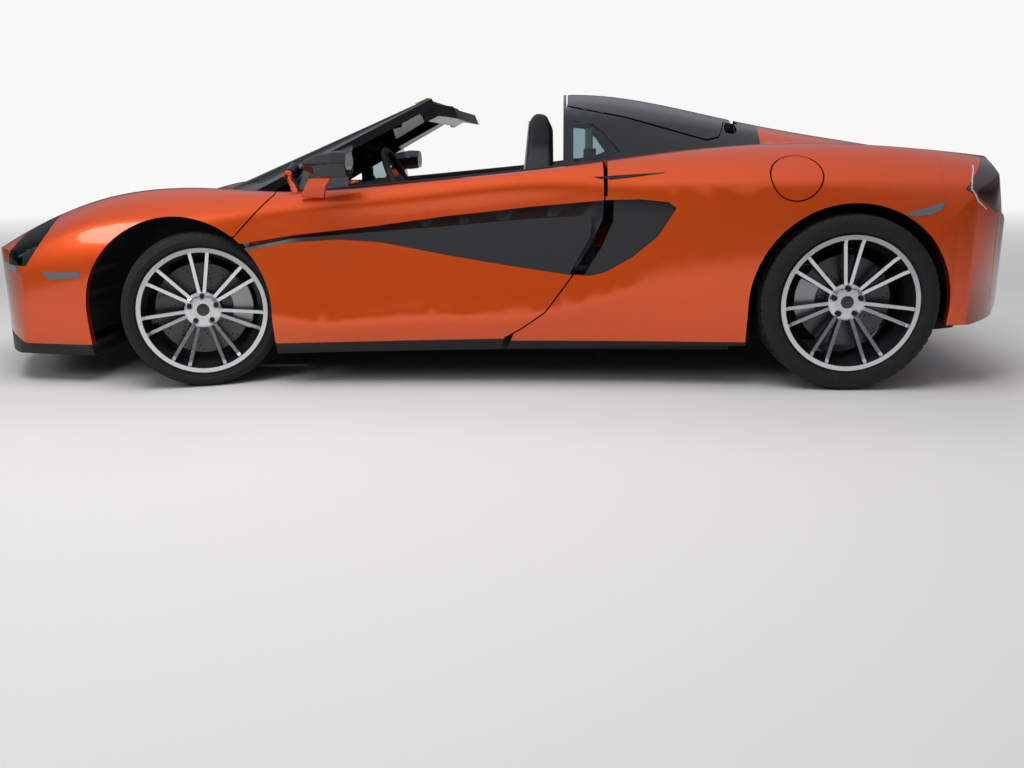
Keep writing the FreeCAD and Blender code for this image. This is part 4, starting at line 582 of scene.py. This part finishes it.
for corner, middle, outboard, width, radius, rim, rim_width, hub in wheel_table:
    node = "wheel_" + corner
    rim_piece = panel_copy(node, rim_dark, 30.0, 0.0012)
    mesh = rim_piece.data
    mesh.materials.append(machined)
    normal, centre = (values_of(mesh.polygons, name, 3) for name in ("normal", "center"))
    facing_out, out = normal @ np.array(outboard), (centre - np.array(middle)) @ np.array(outboard)
    bright = (facing_out > faces_out) & (out > hub + turned_from)
    mesh.polygons.foreach_set("material_index", bright.astype(np.int32))
    places = values_of(mesh.vertices, "co", 3) - np.array(middle)
    flat = places - (places @ np.array(outboard))[:, None] * np.array(outboard)
    turning = mesh.attributes.new("turning", "FLOAT", "POINT")
    turning.data.foreach_set("value", np.linalg.norm(flat, axis=1))

    face = hub + hub_face
    cap = turned_piece("cap_" + corner, cap_black, middle, outboard, [
        (face - 0.004, 0.0), (face - 0.004, 0.0255), (face + 0.002, 0.0255), (face + 0.0045, 0.0235),
        (face + 0.0045, 0.0215), (face + 0.0036, 0.0205), (face + 0.0042, 0.010), (face + 0.0045, 0.0),
    ], 48)
    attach(cap, node)
    loop = np.array([
        (face - 0.014, 0.0), (face - 0.014, 0.0105), (face - 0.004, 0.0100), (face - 0.002, 0.0085),
        (face - 0.002, 0.0050), (face - 0.007, 0.0045), (face - 0.007, 0.0),
    ])
    around = np.arange(bolt_steps) * 2 * math.pi / bolt_steps
    bolt_angles = np.arange(bolt_count) * 2 * math.pi / bolt_count
    spots = [
        wheel_places(seat, outboard, loop[:, :1], loop[:, 1:], around[None, :]).reshape(-1, 3)
        for seat in wheel_places(middle, outboard, 0.0, bolt_circle, bolt_angles)
    ]
    faces = [ring_faces(len(loop), bolt_steps, True) + bolt * len(spots[0]) for bolt in range(bolt_count)]
    bolts = mesh_piece("bolts_" + corner, np.concatenate(spots), np.concatenate(faces), bolt_steel, 30.0)
    face_outwards(bolts.data, True)
    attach(bolts, node)


# Brakes. Drilled iron discs on alloy hats turn with the wheels, their holes drawn as near-black discs
# of painted shade; silver-painted calipers are bolted to the uprights behind the axle.
iron = plain_material("disc_iron", (0.10, 0.10, 0.105), 0.34, 1.0)
# Painted shade: the dark inside of each hole through the disc, laid on its face as a near-black disc
hole_shade_paint = plain_material("drill_hole_painted_shade", (0.004, 0.004, 0.004), 0.9)
silver = plain_material("caliper_silver", (0.42, 0.43, 0.44), 0.32, 0.8, 0.3)
disc_behind_hub, disc_half, proud = 0.056, 0.030, 0.0003
hole_rows, holes_a_row, hole_corners, hole_half, row_lean = 14, 6, 10, 0.0034, 0.075
first_hole, last_hole = 0.094, 0.012  # metres from the axle; metres in from the disc's edge
for corner, middle, outboard, width, radius, rim, rim_width, hub in wheel_table:
    panel_copy("disc_" + corner, iron, 30.0, 0.0015)
    face = hub - disc_behind_hub + disc_half + proud
    disc_radius = 0.190 if corner.startswith("front") else 0.185
    arm = np.arange(hole_rows)[:, None] * 2 * math.pi / hole_rows
    step = np.arange(holes_a_row)[None, :]
    hole_radius = first_hole + (disc_radius - last_hole - first_hole) * step / (holes_a_row - 1)
    spot = wheel_places(middle, outboard, face, hole_radius, arm + step * row_lean).reshape(-1, 3)
    around = np.arange(hole_corners) * 2 * math.pi / hole_corners
    edge = wheel_places((0.0, 0.0, 0.0), outboard, 0.0, hole_half, around)
    places = (spot[:, None, :] + edge[None, :, :]).reshape(-1, 3)
    faces = np.arange(len(places)).reshape(-1, hole_corners)
    # The holes are not cut; each is a near-black disc 0.3 mm proud of the face, painted shade of its inside
    hole_shade_discs = mesh_piece("painted_hole_shade_" + corner, places, faces, hole_shade_paint)
    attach(hole_shade_discs, "wheel_" + corner)
for node in ("caliper_left", "caliper_right"):
    panel_copy(node, silver, 30.0, 0.004)
cast = plain_material("cast_alloy", (0.30, 0.31, 0.32), 0.5, 1.0)
hat_radius, caliper_depth = 0.10, 0.0825
rear_hub = wheel_table[-1][-1]
for node in ("knuckle_left", "knuckle_right", "rear_hubs", "front_subframe", "rear_subframe"):
    casting = panel_copy(node, cast)
    if node == "rear_hubs":
        casting.data.materials.append(silver)
        for face in casting.data.polygons:
            from_axle = math.hypot(face.center.x - rear_axle, face.center.z - rear_radius)
            if from_axle > hat_radius and abs(face.center.y) > rear_half_track + rear_hub - caliper_depth:
                face.material_index = 1


# Black outer parts. Roof pillars, header, hoops and the folding cover are lacquered black; the
# blades in the flanks are satin dark with a bright front tip; lower parts are grained plastic.
def refine(piece, voxel, easing):
    """Meshes a piece again in even cells and eases its corners, as on moulded or padded parts."""
    kept = piece.data.materials[0]
    cells = piece.modifiers.new("cells", "REMESH")
    cells.mode = "VOXEL"
    cells.voxel_size = voxel
    eased = piece.modifiers.new("ease", "SMOOTH")
    eased.factor, eased.iterations = 0.5, easing
    shown = bpy.context.evaluated_depsgraph_get()
    mesh = bpy.data.meshes.new_from_object(piece.evaluated_get(shown))
    piece.modifiers.clear()
    piece.data = mesh
    mesh.materials.clear()
    mesh.materials.append(kept)
    mesh.shade_smooth()


lacquer = plain_material("gloss_black", (0.006, 0.006, 0.008), 0.10, 0.0, 1.0, 0.2)
gloss_black = add_grain(lacquer, 14.0, 0.0002, 0.02)
for node in ("windscreen_frame", "buttresses", "tonneau_cover"):
    panel_copy(node, gloss_black, 30.0, 0.002)
for node in (
    "front_splitter", "diffuser", "floor_and_skirts", "arch_liners", "cowl", "engine_cover", "rear_grille",
):
    panel_copy(node, black_trim, 30.0)
mirror_glass = plain_material("mirror_glass", (0.62, 0.64, 0.66), 0.02, 1.0)
stalk_top, glass_from, faces_back = 0.852, 0.868, 0.94
for side in ("left", "right"):
    # The housing is one smooth moulding: its corners are eased before the stalk gets its paint
    mirror = panel_copy("mirror_" + side, gloss_black, 40.0)
    refine(mirror, 0.004, 10)
    cut_by_plane(mirror, (0.0, 0.0, stalk_top), (0.0, 0.0, -1.0), orange_paint)
    mirror.data.materials.append(mirror_glass)
    glass_index = mirror.data.materials.find(mirror_glass.name)
    for face in mirror.data.polygons:
        if face.normal.x > faces_back and face.center.z > glass_from:
            face.material_index = glass_index

tip_from, tip_end = -0.66, -0.92  # the blade's bright tip, metres along the car
satin = plain_material("side_panel", (0.022, 0.023, 0.026), 0.26, 0.0, 0.4, 0.3)
satin_dark = add_grain(satin, 12.0, 0.0002, 0.02)
tree = satin_dark.node_tree
where, along, tip, shade = add_nodes(tree, "TexCoord", "SeparateXYZ", "MapRange", "Mix")
tip.inputs["From Min"].default_value, tip.inputs["From Max"].default_value = tip_from, tip_end
tip.interpolation_type = "SMOOTHERSTEP"
shade.data_type = "RGBA"
shade.inputs["A"].default_value = (0.030, 0.031, 0.034, 1.0)
shade.inputs["B"].default_value = (0.42, 0.43, 0.45, 1.0)
link_nodes(
    tree,
    (where.outputs["Object"], along.inputs[0]), (along.outputs["X"], tip.inputs["Value"]),
    (tip.outputs["Result"], shade.inputs["Factor"]),
    (tip.outputs["Result"], tree.nodes["Principled BSDF"].inputs["Metallic"]),
    (shade.outputs["Result"], tree.nodes["Principled BSDF"].inputs["Base Color"]),
)
for node in ("blade_left", "blade_right", "scoop_panels"):
    fair(panel_copy(node, satin_dark, 30.0))


# Glass. The windscreen is laminated and curved, the small panes and the screen behind the seats are
# flat tempered sheets; all are faintly tinted and mirror more the flatter they are looked at.
glass = plain_material("tinted_glass", (0.60, 0.68, 0.70), 0.01)
tree = glass.node_tree
clear, shine, edge, pane_mix = add_nodes(tree, "BsdfTransparent", "BsdfGlossy", "Fresnel", "MixShader")
clear.inputs["Color"].default_value = (0.70, 0.78, 0.80, 1.0)
shine.inputs["Roughness"].default_value = 0.01
edge.inputs["IOR"].default_value = 1.5
link_nodes(
    tree,
    (edge.outputs[0], pane_mix.inputs[0]), (clear.outputs[0], pane_mix.inputs[1]),
    (shine.outputs[0], pane_mix.inputs[2]),
    (pane_mix.outputs[0], tree.nodes["Material Output"].inputs["Surface"]),
)
for node in ("windscreen_glass", "rear_glass", "quarter_pane_left", "quarter_pane_right"):
    panel_copy(node, glass)


# Cabin. A moulded carbon tub with a matt black face carries a padded dashboard and a small
# steering wheel, both wrapped in grained black hide.
tub_grey = add_grain(plain_material("tub", (0.014, 0.014, 0.016), 0.6, 0.0, 0.0, 0.3), 500.0, 0.0003)
for node in ("monocoque", "footwell", "luggage_bin", "stowage_bay"):
    panel_copy(node, tub_grey)
for node in ("dashboard", "steering_wheel"):
    panel_copy(node, leather, 35.0, 0.004)


# Engine and exhaust. The engine and gearbox show only as one plain cast block between the rear
# wheels; the silencer and its tailpipes are rolled from brushed steel.
panel_copy("engine_block", cast)
exhaust_steel = add_grain(plain_material("exhaust", (0.42, 0.41, 0.40), 0.28, 1.0), 300.0, 0.0002)
panel_copy("exhausts", exhaust_steel, 30.0, 0.001)


# Trim on the outer skin. Marker lenses and winglets are moulded parts 2 mm proud of the panels, and the
# door handles' slots are near-black plates of painted shade for their recesses; each is cut to its outline
# and laid on the skin.
def skin_tree(names):
    """A search tree over the panels' outer shapes."""
    corners, faces, start = [], [], 0
    for name in names:
        mesh = nodes[name].data
        corners.append(values_of(mesh.vertices, "co", 3))
        faces += [[start + v for v in face.vertices] for face in mesh.polygons]
        start += len(mesh.vertices)
    return BVHTree.FromPolygons(np.concatenate(corners).tolist(), faces)


outer_skin = skin_tree([
    "front_bumper", "front_fender_left", "bonnet", "door_left", "rear_quarter_left", "fuel_flap",
    "engine_deck", "rear_bumper", "headlamps", "tail_lamps", "blade_left", "scoop_panels", "front_splitter",
])
flank_y, ray_length = -0.93, 1.0


def on_skin(x, z, ray):
    """The place on the left flank that a ray through (x, z) meets, and the skin's outward direction."""
    aim = Vector((x, flank_y, z))
    hit, normal, _, _ = outer_skin.ray_cast(aim - ray * ray_length, ray)
    if hit is None:
        hit, normal, _, _ = outer_skin.find_nearest(aim)
    return hit, -normal if normal.dot(ray) > 0 else normal


def skin_plate(name, outline, material, ray, mirror):
    """A plate on the left flank from an outline of (x, z) places, laid on the skin along a ray, or
    its mirror image on the right."""
    lift, sink, cell = 0.002, 0.004, 0.03
    ray = Vector(ray).normalized()
    work = bmesh.new()
    work.faces.new([work.verts.new((x, 0.0, z)) for x, z in outline])
    for axis, low, high in (
        (0, min(p[0] for p in outline), max(p[0] for p in outline)),
        (2, min(p[1] for p in outline), max(p[1] for p in outline)),
    ):
        for place in np.arange(low + cell, high, cell):
            point, normal = [0.0, 0.0, 0.0], [0.0, 0.0, 0.0]
            point[axis], normal[axis] = place, 1.0
            everything = work.verts[:] + work.edges[:] + work.faces[:]
            bmesh.ops.bisect_plane(work, geom=everything, plane_co=point, plane_no=normal)
    bmesh.ops.triangulate(work, faces=work.faces[:])
    for vertex in work.verts:
        hit, normal = on_skin(vertex.co.x, vertex.co.z, ray)
        vertex.co = hit + normal * lift
    work.normal_update()
    if sum(face.normal.dot(ray) * face.calc_area() for face in work.faces) > 0:
        bmesh.ops.reverse_faces(work, faces=work.faces[:])
    bmesh.ops.solidify(work, geom=work.faces[:], thickness=lift + sink)
    bmesh.ops.recalc_face_normals(work, faces=work.faces[:])
    mesh = bpy.data.meshes.new(name)
    if mirror:
        bmesh.ops.scale(work, vec=(1.0, -1.0, 1.0), verts=work.verts)
        bmesh.ops.reverse_faces(work, faces=work.faces[:])
    work.to_mesh(mesh)
    work.free()
    piece = finished_piece(name, mesh, material, 40.0)
    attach(piece, "body")


def from_front(points):
    """Outline points in millimetres behind the front axle and above ground, as x and z in metres."""
    return [(x / 1000 + front_axle, z / 1000) for x, z in points]


marker_grey = plain_material("marker_lens", (0.16, 0.18, 0.20), 0.12, 0.3, 1.0)
winglet = plain_material("winglet_silver", (0.30, 0.31, 0.32), 0.28, 0.8, 0.4)
# Painted shade: the recess of each door handle slot, drawn as a near-black plate on the skin
slot_painted_shade = plain_material("slot_painted_shade", (0.006, 0.006, 0.007), 0.45)
# Name, outline behind the front axle, material, slot, ray that lays it on
skin_trim = [
    ("rear_marker", [(2846, 706), (2912, 722), (3008, 748), (2990, 716), (2950, 700), (2893, 694)],
     marker_grey, "lamp", (0, 1, 0)),
    ("front_marker", [(-627, 481), (-560, 478), (-459, 484), (-452, 462), (-520, 452), (-592, 448)],
     marker_grey, "lamp", (0, 1, 0)),
    ("nose_winglet", [(-926, 512), (-912, 486), (-780, 470), (-786, 500)],
     winglet, "black_trim", (1, 1.2, 0)),
    ("handle_slot", [(1652, 884), (1764, 894), (1930, 904), (1800, 880), (1700, 868)],
     slot_painted_shade, "black_trim", (0, 1, -0.8)),
]
for name, outline, material, slot, ray in skin_trim:
    for side in ("left", "right"):
        skin_plate(f"{name}_{side}", from_front(outline), material, ray, side == "right")


# Lamps. Each headlamp is a black well under a clear cover, with two lenses and a bright light
# blade along its upper edge; the tail lamps are smoked lenses with one lit line.
lamp_skin, lamp_facing = 0.012, 0.6


def outer_shell(node, thickness, material, name):
    """The outer faces of a node, as a thin shell."""
    mesh = merged_mesh(node)
    work = bmesh.new()
    work.from_mesh(mesh)
    bpy.data.meshes.remove(mesh)
    places = np.array([face.calc_center_median()[:] for face in work.faces])
    normals = np.array([face.normal[:] for face in work.faces])
    gap = np.abs(body_distance(places))
    outside = (gap < lamp_skin) & ((body_normals(places) * normals).sum(1) > lamp_facing)
    work.faces.ensure_lookup_table()
    bmesh.ops.delete(work, geom=[work.faces[i] for i in np.flatnonzero(~outside)], context="FACES")
    bmesh.ops.delete(work, geom=[v for v in work.verts if not v.link_faces], context="VERTS")
    work.normal_update()
    bmesh.ops.solidify(work, geom=work.faces[:], thickness=thickness)
    bmesh.ops.recalc_face_normals(work, faces=work.faces[:])
    shell = bpy.data.meshes.new(name)
    work.to_mesh(shell)
    work.free()
    piece = finished_piece(name, shell, material, 35.0)
    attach(piece, "body")


def tube(name, path, radius, material, body, sides=8):
    """A round bar along a path of places, with closed ends."""
    path = np.asarray(path, float)
    along = np.gradient(path, axis=0)
    along /= np.linalg.norm(along, axis=1)[:, None]
    helper = np.where(np.abs(along[:, 2:]) > 0.9, [[1.0, 0.0, 0.0]], [[0.0, 0.0, 1.0]])
    across = np.cross(along, helper)
    across /= np.linalg.norm(across, axis=1)[:, None]
    rise = np.cross(across, along)
    angle = np.arange(sides) * 2 * math.pi / sides
    ring = np.cos(angle)[None, :, None] * across[:, None] + np.sin(angle)[None, :, None] * rise[:, None]
    places = (path[:, None] + radius * ring).reshape(-1, 3)
    faces = ring_faces(len(path), sides).tolist()
    faces += [list(range(sides))[::-1], list(range(len(places) - sides, len(places)))]
    mesh = bpy.data.meshes.new(name)
    mesh.from_pydata(places.tolist(), [], faces)
    face_outwards(mesh)
    piece = finished_piece(name, mesh, material, 50.0)
    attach(piece, body)


def on_flank(points, lift, ray=(0.0, 1.0, 0.0), steps=16):
    """Places along a line of (x, z) points on the left flank, lifted off the skin."""
    points = np.array(points)
    walk = np.concatenate([[0], np.cumsum(np.linalg.norm(np.diff(points, axis=0), axis=1))])
    share = np.linspace(0, walk[-1], steps)
    ray = Vector(ray).normalized()
    places = []
    for x, z in zip(np.interp(share, walk, points[:, 0]), np.interp(share, walk, points[:, 1])):
        hit, normal = on_skin(x, z, ray)
        places.append((hit + normal * lift)[:])
    return np.array(places)


lamp_black = plain_material("lamp_well", (0.012, 0.012, 0.014), 0.25, 0.0, 0.5)
lamp_chrome = plain_material("lamp_chrome", (0.70, 0.71, 0.72), 0.08, 1.0)
light_blade = plain_material("light_blade", (0.62, 0.64, 0.60), 0.20, 0.1, 0.8)
lamp_cover = glass.copy()
lamp_cover.name = "lamp_cover"
well_depth, cover_thickness = 0.022, 0.002
well = panel_copy("headlamps", lamp_black, 30.0)
for vertex in well.data.vertices:
    place = np.array([vertex.co[:]])
    if abs(body_distance(place)[0]) < lamp_skin:
        vertex.co = vertex.co - Vector(body_normals(place)[0]) * well_depth
outer_shell("headlamps", cover_thickness, lamp_cover, "headlamp_covers")
# Places in millimetres behind the front axle and above ground; depths under the skin in metres
blade_line = from_front([(-606, 690), (-664, 648), (-722, 596), (-762, 548)])
low_line = from_front([(-640, 640), (-690, 596), (-730, 548)])
lens_middles = from_front([(-640, 600), (-690, 545)])
blade_depth, line_depth, lens_depth = 0.010, 0.016, 0.030
lens_facing = (-0.85, -0.5, 0.15)
lens_profile = [
    (-0.012, 0.0), (-0.012, 0.026), (0.010, 0.028), (0.012, 0.024), (0.004, 0.022), (0.012, 0.012),
    (0.015, 0.0),
]
for side in ("left", "right"):
    turn = np.array([1.0, -1.0 if side == "right" else 1.0, 1.0])
    tube("light_blade_" + side, on_flank(blade_line, -blade_depth) * turn, 0.006, light_blade, "body")
    tube("light_line_" + side, on_flank(low_line, -line_depth) * turn, 0.004, lamp_chrome, "body")
    for number, (x, z) in enumerate(lens_middles):
        middle = on_flank([(x, z), (x + 0.001, z)], -lens_depth, steps=2)[0] * turn
        facing = np.array(lens_facing) * turn
        facing /= np.linalg.norm(facing)
        lens = turned_piece(f"lens_{number}_{side}", lamp_chrome, middle, facing, lens_profile, 32)
        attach(lens, "body")

smoked = plain_material("tail_lamp", (0.030, 0.002, 0.002), 0.08, 0.0, 1.0)
fair(panel_copy("tail_lamps", smoked))
lit_line = plain_material("tail_line", (0.55, 0.56, 0.58), 0.15, 0.6, 0.8)
tail_edge = from_front([(3172, 884), (3136, 838), (3118, 798), (3150, 752), (3200, 720)])
tail_places = on_flank(tail_edge, 0.001, (-0.35, 1.0, 0.0), 24)
for side in ("left", "right"):
    turn = np.array([1.0, -1.0 if side == "right" else 1.0, 1.0])
    tube("tail_line_" + side, tail_places * turn, 0.0035, lit_line, "body")


# Seats. Two slim buckets: foam pads on a hard shell, covered in soft black hide, with light piping
# sewn along the edges of their bolsters.
seats = panel_copy("seats", leather)
refine(seats, 0.009, 14)
piping_hide = add_grain(plain_material("seat_piping", (0.30, 0.31, 0.33), 0.5), 900.0, 0.0003)
line = np.array(from_front([(1262, 330), (1325, 600), (1362, 860), (1376, 1010), (1384, 1078)]))
outer_edge, inner_edge, head_half, head_from = 0.150, 0.085, 0.095, 0.86
outer_lift, inner_lift, piping_radius = 0.002, -0.0004, 0.0028
for side, middle in {"left": -0.360, "right": 0.360}.items():
    for letter, edge in zip("abcd", (-outer_edge, -inner_edge, inner_edge, outer_edge)):
        lift = outer_lift if abs(edge) == outer_edge else inner_lift
        spread = np.where(line[:, 1] > head_from, np.minimum(abs(edge), head_half) / abs(edge), 1.0)
        places = np.stack([line[:, 0] - lift, middle + edge * spread, line[:, 1]], 1)
        tube(f"piping_{side}_{letter}", places, piping_radius, piping_hide, "body", 6)


# Grilles. Crossed black wires fill the three intakes in the nose. The mesh is pressed into the
# nose's own curve and held by the rims of the intakes.
def wire_grille(name, outline, x_of, pitch, wire, material):
    """Crossed square wires over an outline of (y, z) places, bent to x_of(y)."""
    wire_angle, stagger, shortest, longest_step = math.radians(60), 0.0006, 0.01, 0.06
    outline = np.array(outline)
    ends = np.roll(outline, -1, axis=0)
    parts, faces, start = [], [], 0
    for lean in (-1.0, 1.0):
        direction = np.array([math.cos(wire_angle), lean * math.sin(wire_angle)])
        normal = np.array([-direction[1], direction[0]])
        reach = outline @ normal
        for offset in np.arange(reach.min() + pitch / 2, reach.max(), pitch):
            hits = []
            for a, b in zip(outline, ends):
                da, db = a @ normal - offset, b @ normal - offset
                if (da > 0) != (db > 0):
                    hits.append((a + (b - a) * da / (da - db)) @ direction)
            hits.sort()
            for first, last in zip(hits[::2], hits[1::2]):
                if last - first < shortest:
                    continue
                steps = max(2, int((last - first) / longest_step) + 1)
                walk = np.linspace(first, last, steps)
                middle = offset * normal + walk[:, None] * direction
                for depth in (0.0, wire):
                    for side in (0.5, -0.5):
                        edge = middle + side * wire * normal
                        parts.append(np.column_stack([x_of(edge[:, 0]) + depth - lean * stagger, edge]))
                i = start + np.arange(steps - 1)
                a, b, c, d = i, i + steps, i + 3 * steps, i + 2 * steps
                for p, q in ((a, b), (b, c), (c, d), (d, a)):
                    faces.append(np.stack([p, p + 1, q + 1, q], 1))
                start += 4 * steps
    piece = mesh_piece(name, np.concatenate(parts), np.concatenate(faces), material, 30.0)
    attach(piece, "body")


grille_wire = plain_material("grille_wire", (0.020, 0.020, 0.022), 0.35, 0.6)
grille_front, grille_curve, wire_pitch, wire_side = -2.165, 0.30, 0.014, 0.0022
side_intake = [(0.380, 0.232), (0.700, 0.232), (0.705, 0.340), (0.682, 0.405), (0.600, 0.425), (0.490, 0.345)]
middle_intake = [(-0.315, 0.215), (0.315, 0.215), (0.290, 0.280), (-0.290, 0.280)]
for name, outline in (
    ("grille_right", side_intake), ("grille_left", [(-y, z) for y, z in side_intake]),
    ("grille_middle", middle_intake),
):
    wire_grille(
        name, outline, lambda y: grille_front + grille_curve * y**2, wire_pitch, wire_side, grille_wire,
    )


# Seals. A black rubber lip runs along the top of each door, where the drop glass slides out; it
# is one extruded strip and turns with the door.
rubber_seal = plain_material("rubber_seal", (0.008, 0.008, 0.009), 0.55)
belt_y, belt_low, above, seal_lift, seal_radius = 0.806, 0.70, 1.3, 0.001, 0.007
for side in ("left", "right"):
    turn = 1.0 if side == "right" else -1.0
    line = []
    for x in np.linspace(0.420, 1.560, 40) + front_axle:
        hit, _, _, _ = outer_skin.ray_cast(Vector((x, -belt_y, above)), Vector((0.0, 0.0, -1.0)))
        if hit is not None and hit.z > belt_low:
            line.append((hit.x, turn * belt_y, hit.z + seal_lift))
    tube("belt_seal_" + side, line, seal_radius, rubber_seal, "door_" + side)
